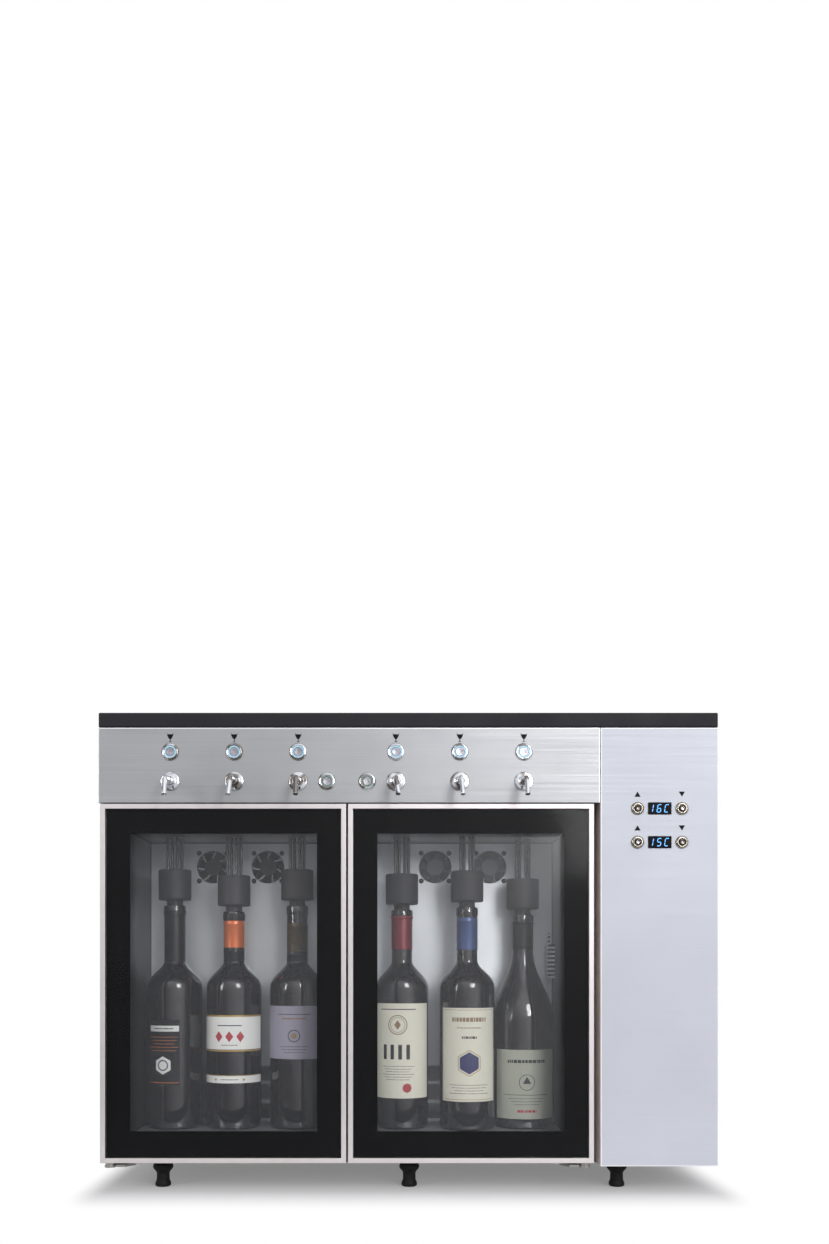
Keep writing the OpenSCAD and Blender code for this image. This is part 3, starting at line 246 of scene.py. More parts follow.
class Finish(NodeRecipe):
    """A material round one Principled shader. Its colour may be written as #rrggbb."""

    def __init__(self, name, colour, roughness=0.5, metallic=0.0):
        """Makes the material, and enters it in finish_of under its name."""
        finish_of[name] = self
        self.material = bpy.data.materials.new(name)
        self.material.use_nodes = True
        super().__init__(self.material.node_tree)
        self.shader = self.tree.nodes["Principled BSDF"]
        self.output = self.tree.nodes["Material Output"]
        self.colour = linear(colour) if isinstance(colour, str) else colour
        self.base = self.shader.inputs["Base Color"]
        self.roughness = self.shader.inputs["Roughness"]
        self.set(base_color=self.colour, roughness=roughness, metallic=metallic)

    def set(self, **values):
        """Sets inputs of the shader by name, and returns the finish."""
        set_values(self.shader, values)
        return self

    def vary(self, source, low, high, start=0.3, end=0.7):
        """Gives the surface two shades of its colour, one where source is low and one where it is high."""
        self.link(self.ramp(source, shade(self.colour, low), shade(self.colour, high), start, end), self.base)

    def vary_roughness(self, source, low, high, start=0.3, end=0.7):
        """Changes the roughness from low to high with source."""
        self.link(self.ramp(source, low, high, start, end), self.roughness)

    def tint(self, factor, colour, blend="MIX"):
        """Mixes a colour over the one that the shader has so far."""
        self.link(self.mix(factor, self.base.links[0].from_socket, colour, blend), self.base)

    def bump(self, source, strength, distance):
        """Raises the surface by source; distance is in metres."""
        bump = self.node("ShaderNodeBump", strength=strength, distance=distance)
        self.link(source, bump.inputs["Height"])
        self.link(bump.outputs["Normal"], self.shader.inputs["Normal"])

    def show_mix(self, factor, first, second):
        """Sends a mix of two shaders to the material's output."""
        mixed = self.node("ShaderNodeMixShader")
        self.feed(mixed.inputs, (factor, first, second))
        self.link(mixed.outputs["Shader"], self.output.inputs["Surface"])


print("finish helper ready")

# %% [markdown]
# ## Brushed stainless steel
# Steel sheet is ground with a belt, which leaves hair-fine scratches that all run one way. Real scratches
# are far too small to model, but they show as faint streaks and as a highlight that is soft across the
# grain. A noise stretched two hundred times along X gives the streaks, and a second, slow noise gives the
# cloudy look of a sheet that has been wiped by hand.

# %% Brushed metals
SCRATCH_DEPTH = 0.04 * MM
# The width of the painted edge highlight on the folded sheets.
EDGE_HIGHLIGHT_W = 1.7 * MM
CLOUDS_PER_M = (9, 9, 9)


def brushed_metal(name, colour, roughness=0.34, grain=(5, 1100, 1100), streak=0.08, cloud=0.06, bump=0.05,
                  uneven=1.0):
    """Metal sheet brushed along the axis with the smallest grain value. uneven scales the change of gloss."""
    finish = Finish(name, colour, roughness, 1.0)
    streaks = finish.noise(grain, detail=4, rough=0.65)
    clouds = finish.ramp(finish.noise(CLOUDS_PER_M, detail=3), 1 - 2 * cloud, 1.0)
    finish.vary(streaks, 1 - streak, 1 + streak)
    finish.tint(1.0, clouds, "MULTIPLY")
    finish.vary_roughness(streaks, roughness - 0.06 * uneven, roughness + 0.1 * uneven)
    finish.bump(streaks, bump, SCRATCH_DEPTH)
    return finish


def soft_edges(finish, radius):
    """Rounds the edges for the light only, so that folds and rims catch a bright line."""
    bevel = finish.node("ShaderNodeBevel", samples=6, radius=radius)
    under = finish.tree.nodes.get("Bump", finish.shader)
    finish.link(bevel.outputs["Normal"], under.inputs["Normal"])


def painted_edge_highlight(finish, node, width, bottom=True):
    """Paints a highlight on the last width of a sheet's front before its folds, where the folded edge catches
    light.
    """
    low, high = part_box(node)
    along = finish.split()
    borders = [("X", low.x + width, low.x), ("X", high.x - width, high.x), ("Z", high.z - width, high.z)]
    if bottom:
        borders.append(("Z", low.z + width, low.z))
    amount = 0.0
    for axis, start, end in borders:
        amount = finish.math("MAXIMUM", amount, finish.between(along[axis], start, end))
    front = finish.between(along["Y"], low.y + 2 * width, low.y + width)
    finish.tint(finish.math("MULTIPLY", amount, front), WHITE)


print("scratches are", SCRATCH_DEPTH / MM, "mm deep")

# %% Steel sheets and metal parts
fascia_steel = brushed_metal("fascia_steel", "#a5a6a9", roughness=0.5)
panel_steel = brushed_metal("panel_steel", "#bfc2ca", roughness=0.6, streak=0.05,
                            cloud=0.03).set(metallic=0.5)
case_steel = brushed_metal("case_steel", "#c2c3c6", roughness=0.45, grain=(1100, 1100, 5))
door_metal = brushed_metal("door_aluminium", "#d2cccc", roughness=0.5, grain=(90,) * 3, streak=0.03,
                           cloud=0.02, bump=0.0, uneven=0.3)
for folded, radius in ((fascia_steel, 1.2), (panel_steel, 1.4), (case_steel, 1), (door_metal, 1.2)):
    soft_edges(folded, radius * MM)
# Painted highlight: a lighter band along the front edges of the fascia and the tech panel, for the light
# their folds catch.
painted_edge_highlight(fascia_steel, "control_fascia", EDGE_HIGHLIGHT_W, bottom=False)
painted_edge_highlight(panel_steel, "tech_front_panel", EDGE_HIGHLIGHT_W)
brushed_metal("bracket_steel", "#9d9a98", roughness=0.3, grain=(90, 20, 90))
brushed_metal("button_steel", "#b3b1b9", roughness=0.3, grain=(420,) * 3, streak=0.3)
screw_steel = brushed_metal("screw_steel", "#c4c5c8", roughness=0.25, grain=(500,) * 3)
screw_dark = brushed_metal("screw_dark", "#3b3c40", roughness=0.3, grain=(500,) * 3)
brushed_metal("manifold_aluminium", "#c6c9cc", roughness=0.36, grain=(3, 200, 200))
brushed_metal("finned_aluminium", "#c9c6c0", roughness=0.4, grain=(120, 120, 6))
print(len(finish_of), "finishes so far")

# %% [markdown]
# ## Chamber lining
# The lining is smoother sheet, with its grain upright, so the bottles mirror in it as soft dark shapes.
# The left chamber gets less light than the right one, and the lining paints that in as shade: the material
# multiplies its colour by a factor that it reads from X, lower on the left. It also darkens the last
# millimetre before each upright corner, where the folded sheets meet, and a thin line under the ceiling.

# %% Chamber lining
DOOR_MID = (door_box["left"][1].x + door_box["right"][0].x) / 2
PANEL_HALF = (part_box("fan_panels")[1].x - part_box("fan_panels")[0].x) / 2
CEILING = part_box("fan_panels")[1].z
SEAM = 1.6 * MM
SEAM_TONE = 0.25
JOINT_TOP = 1.8 * MM
JOINT_FOOT = 2.6 * MM


def lining(name, colour, left_shade_share, roughness, metallic, joint_tone):
    """Brushed lining sheet, with painted shade in the left chamber, darker along the folded corners and under
    the ceiling.
    """
    finish = brushed_metal(name, colour, roughness, grain=(420, 420, 4), streak=0.02, cloud=0.1, bump=0.0,
                           uneven=0.1)
    finish.set(metallic=metallic)
    along = finish.split()
    off_middle = finish.math("ABSOLUTE", finish.math("SUBTRACT", along["X"], DOOR_MID))
    # The first factor is painted shade: the left chamber's colour is multiplied by a share below 1, rising to
    # full in the right one.
    for value, start, end, low, high in (
            (along["X"], DOOR_MID, DOOR_MID + PANEL_HALF, left_shade_share, 1.0),
            (off_middle, PANEL_HALF - SEAM, PANEL_HALF - SEAM * 0.6, 1.0, SEAM_TONE),
            (along["Z"], CEILING - JOINT_FOOT, CEILING - JOINT_TOP, 1.0, joint_tone)):
        finish.tint(1.0, finish.between(value, start, end, low, high, "LINEAR"), "MULTIPLY")
    return finish


lining("liner_steel", "#f6faff", left_shade_share=0.73, roughness=0.46, metallic=0.85, joint_tone=0.35)
ceiling_steel = lining("ceiling_steel", "#fbfcfe", left_shade_share=0.9, roughness=0.35, metallic=0.3,
                       joint_tone=1.0)
print("chambers meet at x =", round(DOOR_MID, 4))

# %% [markdown]
# ## Galvanised sheet
# The base tray, the back panel and the partition are plain zinc-coated sheet. Zinc freezes in crystals a
# few millimetres wide, called spangle. Voronoi cells, each with its own grey, are that pattern almost
# exactly.

# %% Galvanised steel
CRYSTALS_PER_M = 140.0


def galvanised(name, colour):
    """Zinc-coated sheet with crystals of uneven grey."""
    finish = Finish(name, colour, 0.45, 0.9)
    cells = finish.node("ShaderNodeTexVoronoi", scale=CRYSTALS_PER_M)
    finish.link(finish.place, cells.inputs["Vector"])
    grey = finish.node("ShaderNodeRGBToBW")
    finish.link(cells.outputs["Color"], grey.inputs["Color"])
    finish.vary(grey.outputs["Val"], 0.82, 1.12, 0.1, 0.9)
    finish.vary_roughness(grey.outputs["Val"], 0.36, 0.55, 0.1, 0.9)
    return finish


galvanised("galvanised_steel", "#a9aba9")
print("zinc ready")

# %% [markdown]
# ## Moulded plastics, rubber and the worktop
# Moulded pieces are never a flat colour: the mould's fine texture catches light, and the surface is
# duller where it has been handled. One function makes them all, with a fine bump for the texture and a
# slow change of roughness for the wear.

# %% Plastics and rubbers
WEAR_PER_M = (14, 14, 14)


def moulded(name, colour, roughness=0.5, texture=900, depth=0.00003, strength=0.25, mottle=0.12):
    """Moulded plastic or rubber with a fine surface texture."""
    finish = Finish(name, colour, roughness)
    fine = finish.noise(texture if isinstance(texture, tuple) else (texture,) * 3, detail=2)
    slow = finish.noise(WEAR_PER_M, detail=3)
    finish.vary(slow, 1 - mottle, 1 + mottle)
    finish.vary_roughness(slow, roughness - 0.06, roughness + 0.08)
    finish.bump(fine, strength, depth)
    return finish


moulded("worktop_black", "#17171d", 0.6, texture=1400, mottle=0.08).set(specular_ior_level=0.3)
moulded("cap_black", "#302f34", 0.6, texture=(700, 700, 30), depth=0.00008, strength=0.4)
moulded("fan_plastic", "#2b2c2f", 0.5)
fan_grey = moulded("fan_grey", "#7b8084", 0.45)
frame_grey = moulded("fan_frame_grey", "#b4b8bb", 0.5)
moulded("foot_rubber", "#0b0b0d", 0.6).set(specular_ior_level=0.25)
moulded("gasket", "#2a2a2c", 0.7)
moulded("fitting_black", "#1c1d1f", 0.35)
moulded("compressor_black", "#1a1a1c", 0.32, texture=300)
moulded("condenser_dark", "#3c3e42", 0.5)
moulded("valve_body", "#54575d", 0.45)
probe_white = moulded("probe_white", "#fbfcfc", 0.4)
moulded("switch_red", "#a31d1d", 0.3)
hose_clear = moulded("hose_clear", "#c9cfd1", 0.3).set(transmission_weight=0.4)
moulded("foam", "#e6dcae", 0.85, texture=260, depth=0.0004, strength=0.6)
moulded("wine_dark", "#2a070f", 0.08, strength=0.0)
moulded("display_black", "#07070f", 0.3, strength=0.02).set(specular_ior_level=0.03)
print(len(finish_of), "finishes so far")

# %% [markdown]
# ## Ribs of the temperature probes
# A probe is a white comb of ribs on the chamber's wall, and the slots between the ribs lie in shade, which
# the material paints in as painted shade. The ribs repeat upwards, so the material takes the height over
# the first rib, keeps the rest of a division by their pitch, and darkens wherever that rest is past a
# rib's thickness.

# %% Painted shade in the slots between the ribs
RIB_PITCH = 6 * MM
RIB_T = 3 * MM
PROBE_PIN = 14 * MM
SLACK = 0.03 * MM

first_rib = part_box("temperature_probes")[0].z + PROBE_PIN
over_first = probe_white.math("SUBTRACT", probe_white.split()["Z"], first_rib - SLACK)
rest = probe_white.math("MODULO", over_first, RIB_PITCH)
slot_painted_shade = probe_white.math("GREATER_THAN", rest, RIB_T + 2 * SLACK)
# Painted shade in the slots between the ribs.
probe_white.tint(slot_painted_shade, linear("#2a2a2e"))
print("first rib at", round(first_rib, 4), "m")

# %% [markdown]
# ## Chrome and the circuit board
# Chrome is almost a mirror. A faint, fine unevenness in its roughness, as polishing leaves, stops it from
# looking like a computer's perfect sphere. Browner patches a few millimetres wide, from a slow noise with a
# steep ramp, are painted reflection: they stand in for the dark room mirrored in the chrome. The small
# temperature buttons are nickel instead, which is warmer, painted darker everywhere but a small dot in the
# middle: painted dark reflection round a painted highlight. The board is green solder mask with paler
# copper tracks under it, which square cells of noise suggest well enough for a piece that is hardly ever
# seen.

# %% Chrome and circuit board
CHROME_ROUND = 2.4 * MM
NICKEL_ROUND = 1.5 * MM

chrome = Finish("chrome", "#dfe2e6", 0.08, 1.0)
polish = chrome.noise((300, 300, 300), detail=3)
dark_reflection_patches = chrome.noise((80, 80, 80), detail=0)
chrome.vary_roughness(polish, 0.05, 0.14)
# Painted reflection: the browner patches stand in for the dark room that the chrome mirrors.
chrome.link(chrome.ramp(dark_reflection_patches, linear("#8f8a86"), linear("#e6e9ee"), 0.4, 0.54), chrome.base)
soft_edges(chrome, CHROME_ROUND)
nickel = brushed_metal("nickel", "#a29d93", 0.12, grain=(300,) * 3, streak=0.1, bump=0.0, uneven=0.5)
soft_edges(nickel, NICKEL_ROUND)
# Painted dark reflection for the temperature buttons, used on all of each button but the dot in its middle.
nickel_painted_reflection = brushed_metal("nickel_painted_reflection", "#47423c", 0.2, grain=(300,) * 3, bump=0.0, uneven=0.5)

board_green = Finish("board_green", "#2c5f3b", 0.4)
tracks = board_green.node("ShaderNodeTexBrick", scale=220.0, color1=linear("#2c5f3b"),
                          color2=linear("#35704a"), mortar=linear("#6a9a5f"))
board_green.link(board_green.place, tracks.inputs["Vector"])
board_green.link(tracks.outputs["Color"], board_green.base)
print("chrome, nickel and board ready")

# %% [markdown]
# ## Lit rings
# Each push button has a ring of clear plastic with lamps behind it. The six that pour are lit pale blue,
# and the two for the chamber lights, lower down, are off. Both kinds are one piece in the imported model,
# so the material itself has to know which is which: it reads the height and switches the light on above
# the line between them.

# %% Light rings
ring_light = Finish("ring_light", "#93a49c", 0.3)
between_rows = (buttons[0].z + middle("light_button_left").z) / 2
lit = ring_light.math("GREATER_THAN", ring_light.split()["Z"], between_rows)
ring_light.link(ring_light.mix(lit, linear("#7d9187"), linear("#9dbccc")), ring_light.base)
ring_glow = ring_light.mix(lit, (0, 0, 0, 1), linear("#a4dcf2"))
ring_light.link(ring_glow, ring_light.shader.inputs["Emission Color"])
ring_light.set(emission_strength=0.2)
print("rings are lit above z =", round(between_rows, 4))

# %% [markdown]
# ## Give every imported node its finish
# The record names a material slot for each node, and every finish above has the name of its slot. So a
# node finds its own finish by that name, and one that is added to the model later needs nothing here. The
# glass nodes have none yet: the bottles and panes that are built further down stand for them.

# %% Assign the finishes
for subpart in frame["record"]["subparts"]:
    finish = finish_of.get(subpart["material_slot"])
    if finish:
        mesh = nodes[subpart["node"]].data
        mesh.materials.clear()
        mesh.materials.append(finish.material)
        mesh.polygons.foreach_set("material_index", [0] * len(mesh.polygons))
print(len(finish_of), "finishes so far")

# %% [markdown]
# ## Second finishes inside one node
# A few nodes hold more than one material: the clear tubes stand in the same node as the black cap that
# they enter, and the nickel gas fitting in the same node as the plastic mains inlet. The faces of such a
# node are told apart by where they are, and only get another of the mesh's material slots. Nothing about
# the shape changes.

# %% Paint part of a node
def paint(node, finish, chosen):
    """Gives another finish to the faces of a node whose middle passes the test."""
    mesh = nodes[node].data
    mesh.materials.append(finish.material)
    index = len(mesh.materials) - 1
    count = 0
    for face in mesh.polygons:
        if chosen(face.center):
            face.material_index = index
            count += 1
    print(node, "has", count, "faces in", finish.material.name)


SAME_CORNER = 0.02 * MM


def islands(node):
    """The boxes of a node's separate solids, as (low corner, high corner), from left to right."""
    bm = bmesh.new()
    bm.from_mesh(nodes[node].data)
    bmesh.ops.remove_doubles(bm, verts=bm.verts, dist=SAME_CORNER)
    left = set(bm.verts)
    found = []
    while left:
        stack = [left.pop()]
        group = list(stack)
        while stack:
            for edge in stack.pop().link_edges:
                for vert in edge.verts:
                    if vert in left:
                        left.remove(vert)
                        stack.append(vert)
                        group.append(vert)
        found.append((Vector([min(v.co[k] for v in group) for k in range(3)]),
                      Vector([max(v.co[k] for v in group) for k in range(3)])))
    bm.free()
    return sorted(found, key=lambda box: box[0].x)


bottle_boxes = islands("bottles")
print("bottles stand at x =", [round((low.x + high.x) / 2, 4) for low, high in bottle_boxes])

# %% Paint the second finishes
CEILING_SLACK = 1 * MM
BLADE_SET_BACK = 0.2 * MM
BLADE_SLACK = 0.05 * MM
DIMPLE_R = 2 * MM
BEZEL_REACH = 12 * MM
SIDE_SLACK = 0.2 * MM
CAP_HEIGHT = 42 * MM
CAP_OVER_LIP = 7.8 * MM
TUBE_START = 0.1 * MM
PLUGS_TO_FITTING = 20 * MM
SUPPLY_W = 45 * MM
SUPPLY_BEHIND = 140 * MM

for node, finish in (("fan_rotor_3", fan_grey), ("fan_rotor_4", fan_grey), ("fan_frames", frame_grey)):
    nodes[node].data.materials[0] = finish.material
paint("chamber_liners", ceiling_steel, lambda at: abs(at.z - CEILING) < CEILING_SLACK)

# Painted highlight: faces near the front of the first two fans' blades get a pale colour, for the light their
# edges catch.
blade_painted_highlight = moulded("blade_painted_highlight", "#d9dcde", 0.5)
for k in (1, 2):
    blade_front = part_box(f"fan_rotor_{k}")[0].y + BLADE_SET_BACK
    paint(f"fan_rotor_{k}", blade_painted_highlight, lambda at, front=blade_front: abs(at.y - front) < BLADE_SLACK)

temp_buttons = [middle(f"temp_button_{i}") for i in range(1, 5)]
# Painted reflection and highlight: each temperature button is dark outside a lighter centre dot.
for i, button in enumerate(temp_buttons):
    paint(f"temp_button_{i + 1}", nickel_painted_reflection,
          lambda at, c=button: math.hypot(at.x - c.x, at.z - c.z) > DIMPLE_R)
paint("button_bezels", nickel, lambda at: at.x > temp_buttons[0].x - BEZEL_REACH)

# Painted light: the tech panel's left return, in shade in the narrow gap beside the right door, gets a pale
# diffuse colour.
panel_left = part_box("tech_front_panel")[0].x
painted_light_edge = moulded("painted_light_edge", "#f3e9e2", 0.5)
paint("tech_front_panel", painted_light_edge, lambda at: at.x < panel_left + SIDE_SLACK)

tube_grey = moulded("tube_grey", "#4c4c50", 0.2, texture=200)
for i, (_, high) in enumerate(bottle_boxes):
    tubes_from = high.z + CAP_OVER_LIP + CAP_HEIGHT + TUBE_START
    paint(f"bottle_cap_{i + 1}", tube_grey, lambda at, start=tubes_from: at.z > start)

fitting_metal = brushed_metal("fitting_nickel", "#c9ccce", 0.25, grain=(200,) * 3)
plugs_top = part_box("power_switch")[1].z + PLUGS_TO_FITTING
paint("rear_connections", fitting_metal, lambda at: at.z > plugs_top)

supply_case = galvanised("supply_case", "#9c9fa2")
board_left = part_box("control_electronics")[0].x + SUPPLY_W
supply_front = front_y + SUPPLY_BEHIND
paint("control_electronics", supply_case, lambda at: at.x < board_left and at.y > supply_front)

# %% [markdown]
# ## Helpers for building pieces
# Pieces are built as bmesh shells in millimetre-sized steps, straight in the place where they belong. One
# helper turns a finished shell into a named object: it merges doubles, points the faces outwards and
# makes it ride on the body that carries it. Another makes a box with softly rounded edges, because no
# real edge is razor sharp.

# %% Piece helpers
WELD = 0.001 * MM


def bmesh_to_mesh(bm, name="carry"):
    """A mesh with a bmesh's faces; the bmesh is freed."""
    mesh = bpy.data.meshes.new(name)
    bm.to_mesh(mesh)
    bm.free()
    return mesh


def place_object(name, mesh):
    """A new object in the scene."""
    made = bpy.data.objects.new(name, mesh)
    bpy.context.collection.objects.link(made)
    return made


def piece_from(name, bm, finishes, body, stands_for=(), smooth_angle=None):
    """Makes a named piece from a bmesh, riding on a body if one is given. finishes is one or a list."""
    bmesh.ops.remove_doubles(bm, verts=bm.verts, dist=WELD)
    bmesh.ops.recalc_face_normals(bm, faces=bm.faces)
    mesh = bmesh_to_mesh(bm, name)
    if smooth_angle:
        mesh.shade_smooth()
        mesh.set_sharp_from_angle(angle=math.radians(smooth_angle))
    for finish in finishes if isinstance(finishes, list) else [finishes]:
        mesh.materials.append(finish.material)
    piece = place_object(name, mesh)
    if body:
        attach(piece, body)
    if stands_for:
        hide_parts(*stands_for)
    return piece


print("pieces weld corners closer than", WELD / MM, "mm")


# %% Helpers for boxes, frames and turned shapes
def add_box(bm, low, high, soft=0.0):
    """Adds a box between two corners to a bmesh, its edges rounded by soft."""
    made = bmesh.ops.create_cube(bm, size=1.0)["verts"]
    for vert in made:
        vert.co = [low[k] + (vert.co[k] + 0.5) * (high[k] - low[k]) for k in range(3)]
    if soft:
        edges = list({edge for vert in made for edge in vert.link_edges})
        bmesh.ops.bevel(bm, geom=edges, offset=soft, segments=2, profile=0.5, affect="EDGES")


def add_ring(bm, low, high, margin):
    """Adds an upright frame in the XZ plane: a box less an opening. margin is left, right, bottom, top."""
    inner_low = (low[0] + margin[0], low[2] + margin[2])
    inner_high = (high[0] - margin[1], high[2] - margin[3])
    outer = [(low[0], low[2]), (high[0], low[2]), (high[0], high[2]), (low[0], high[2])]
    inner = [inner_low, (inner_high[0], inner_low[1]), inner_high, (inner_low[0], inner_high[1])]
    loops = [[bm.verts.new((x, y, z)) for x, z in loop] for y in (low[1], high[1]) for loop in (outer, inner)]
    front_outer, front_inner, back_outer, back_inner = loops
    for a, b in ((front_outer, front_inner), (back_inner, back_outer), (back_outer, front_outer),
                 (front_inner, back_inner)):
        for k in range(4):
            n = (k + 1) % 4
            bm.faces.new((a[k], a[n], b[n], b[k]))


def lathe(bm, outline, centre, steps=64):
    """Turns an outline of (radius, height) pairs round an upright axis. Radius 0 becomes a single pole."""
    x, y = centre
    turn = [2 * math.pi * k / steps for k in range(steps)]
    rings = []
    for radius, height in outline:
        angles = turn[:1] if radius < WELD else turn
        rings.append([bm.verts.new((x + radius * math.cos(a), y + radius * math.sin(a), height))
                      for a in angles])
    for low, high in zip(rings, rings[1:]):
        for k in range(steps):
            n = k + 1
            corners = [low[k % len(low)], low[n % len(low)], high[n % len(high)], high[k % len(high)]]
            unique = list(dict.fromkeys(corners))
            if len(unique) > 2:
                bm.faces.new(unique)


trial = bmesh.new()
add_box(trial, (0, 0, 0), (1, 1, 1))
print("a plain box has", len(trial.faces), "faces")
trial.free()

# %% [markdown]
# ## Setting one item many times
# Screws, printed signs and the holes of the spacer bars repeat. A small Geometry Nodes tree puts one item
# on every vertex of a mesh that only holds the places. Moving a place or changing the item then updates
# all of them, which copying objects by hand wouldn't. The tree's inputs have names, and are set by the
# identifier that Blender gave each one. Realize Instances turns the copies into real mesh before the
# result is taken out.

# %% Geometry Nodes tree that repeats an item
scatter = bpy.data.node_groups.new("repeat_item", "GeometryNodeTree")
for title, kind in (("Places", "NodeSocketGeometry"), ("Item", "NodeSocketObject"),
                    ("Turn About Y", "NodeSocketFloat"), ("Seed", "NodeSocketInt"),
                    ("Finish", "NodeSocketMaterial")):
    scatter.interface.new_socket(title, in_out="INPUT", socket_type=kind)
scatter.interface.new_socket("Result", in_out="OUTPUT", socket_type="NodeSocketGeometry")

entry = scatter.nodes.new("NodeGroupInput")
item_info = scatter.nodes.new("GeometryNodeObjectInfo")
turn_range = scatter.nodes.new("ShaderNodeCombineXYZ")
random_turn = scatter.nodes.new("FunctionNodeRandomValue")
random_turn.data_type = "FLOAT_VECTOR"
random_turn.inputs["Min"].default_value = (0, 0, 0)
instances = scatter.nodes.new("GeometryNodeInstanceOnPoints")
realize = scatter.nodes.new("GeometryNodeRealizeInstances")
set_finish = scatter.nodes.new("GeometryNodeSetMaterial")
leave = scatter.nodes.new("NodeGroupOutput")
for source, target in (
        (entry.outputs["Places"], instances.inputs["Points"]),
        (entry.outputs["Item"], item_info.inputs["Object"]),
        (item_info.outputs["Geometry"], instances.inputs["Instance"]),
        (entry.outputs["Turn About Y"], turn_range.inputs["Y"]),
        (turn_range.outputs["Vector"], random_turn.inputs["Max"]),
        (entry.outputs["Seed"], random_turn.inputs["Seed"]),
        (random_turn.outputs["Value"], instances.inputs["Rotation"]),
        (instances.outputs["Instances"], realize.inputs["Geometry"]),
        (realize.outputs["Geometry"], set_finish.inputs["Geometry"]),
        (entry.outputs["Finish"], set_finish.inputs["Material"]),
        (set_finish.outputs["Geometry"], leave.inputs["Result"])):
    scatter.links.new(source, target)
print("repeat tree has", len(scatter.nodes), "nodes")


# %% Take the repeated item out as a plain mesh
def repeat(name, item, places, finish, body, turn=0.0, seed=1, stands_for=()):
    """One piece with a copy of the item's mesh at every place; turn is the largest random turn in radians."""
    carrier = place_object("item_of_" + name, item)
    points = bpy.data.meshes.new(name + "_places")
    points.from_pydata([tuple(p) for p in places], [], [])
    piece = place_object(name, points)
    modifier = piece.modifiers.new("repeat", "NODES")
    modifier.node_group = scatter
    identifier = {socket.name: socket.identifier for socket in scatter.interface.items_tree
                  if socket.in_out == "INPUT"}
    modifier[identifier["Item"]] = carrier
    modifier[identifier["Turn About Y"]] = turn
    modifier[identifier["Seed"]] = seed
    modifier[identifier["Finish"]] = finish.material
    evaluated = piece.evaluated_get(bpy.context.evaluated_depsgraph_get())
    mesh = bpy.data.meshes.new_from_object(evaluated)
    piece.modifiers.clear()
    piece.data = mesh
    bpy.data.objects.remove(carrier)
    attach(piece, body)
    if stands_for:
        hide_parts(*stands_for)
    print(name, "repeats its item", len(places), "times, in", len(mesh.polygons), "faces")


# %% [markdown]
# ## Glass
# Clear window glass shows in two ways only: it mirrors a few percent of the room, more towards grazing
# angles, and it takes a little light from what is behind it. A mirror and a see-through shader, mixed by
# Fresnel, do both, and light still passes into the cooled chambers, which real refraction would slow down
# a great deal. The inner pane also carries the faint haze that cold glass has, which lifts the darkest
# shades seen through it.

# %% Glass finishes
def window_glass(name, haze, haze_colour, ior, blur):
    """See-through glass. haze is the share that each of its two faces veils, from 0 to 1."""
    finish = Finish(name, haze_colour, 0.25).set(alpha=haze, specular_ior_level=0.0)
    mirror = finish.node("ShaderNodeBsdfGlossy", roughness=blur, color=WHITE)
    fresnel = finish.node("ShaderNodeFresnel", ior=ior)
    finish.show_mix(fresnel.outputs["Fac"], finish.shader.outputs["BSDF"], mirror.outputs["BSDF"])
    finish.vary(finish.noise((7, 7, 3), detail=4), 0.8, 1.15)
    return finish


outer_glass = window_glass("outer_glass", haze=0.004, haze_colour="#8d9196", ior=1.16, blur=0.1)
inner_glass = window_glass("inner_glass", haze=0.03, haze_colour="#a9acb2", ior=1.3, blur=0.2)
print("two kinds of glass ready")

# %% [markdown]
# ## Door panes
# Each door is a sealed double pane. Behind the outer pane's face a black enamel border is printed, which
# hides the spacer bar and the glue. The spacer is a hollow aluminium bar full of drying beads, with a row
# of tiny holes towards the window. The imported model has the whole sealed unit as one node, so all four
# pieces together stand for it, inside the same space.

# %% Build the panes
PANE_T = 4 * MM
PRINT_T = 0.2 * MM
SPACER_W = 9 * MM
SPACER_INSET = 14.3 * MM
HOLE_PITCH = 4 * MM
HOLE_R = 0.5 * MM
HOLE_DEPTH = 0.2 * MM
BORDER_SIDE = 31.3 * MM
BORDER_BOTTOM = 34 * MM
GLASS_EDGE = 0.6 * MM

border_print = moulded("border_print", "#0c0c0e", 0.45, texture=60, strength=0.05,
                       mottle=0.1).set(specular_ior_level=0.08)
spacer_metal = brushed_metal("spacer_metal", "#7f8285", 0.4, grain=(40,) * 3)
# The spacer's holes are dark discs, not openings: painted shade for the dark inside of each hole.
hole_painted_shade = moulded("hole_painted_shade", "#141414", 0.8)

hole = bmesh.new()
bmesh.ops.create_cone(hole, cap_ends=True, segments=8, radius1=HOLE_R, radius2=HOLE_R, depth=HOLE_DEPTH)
hole_mesh = bmesh_to_mesh(hole, "spacer_hole")

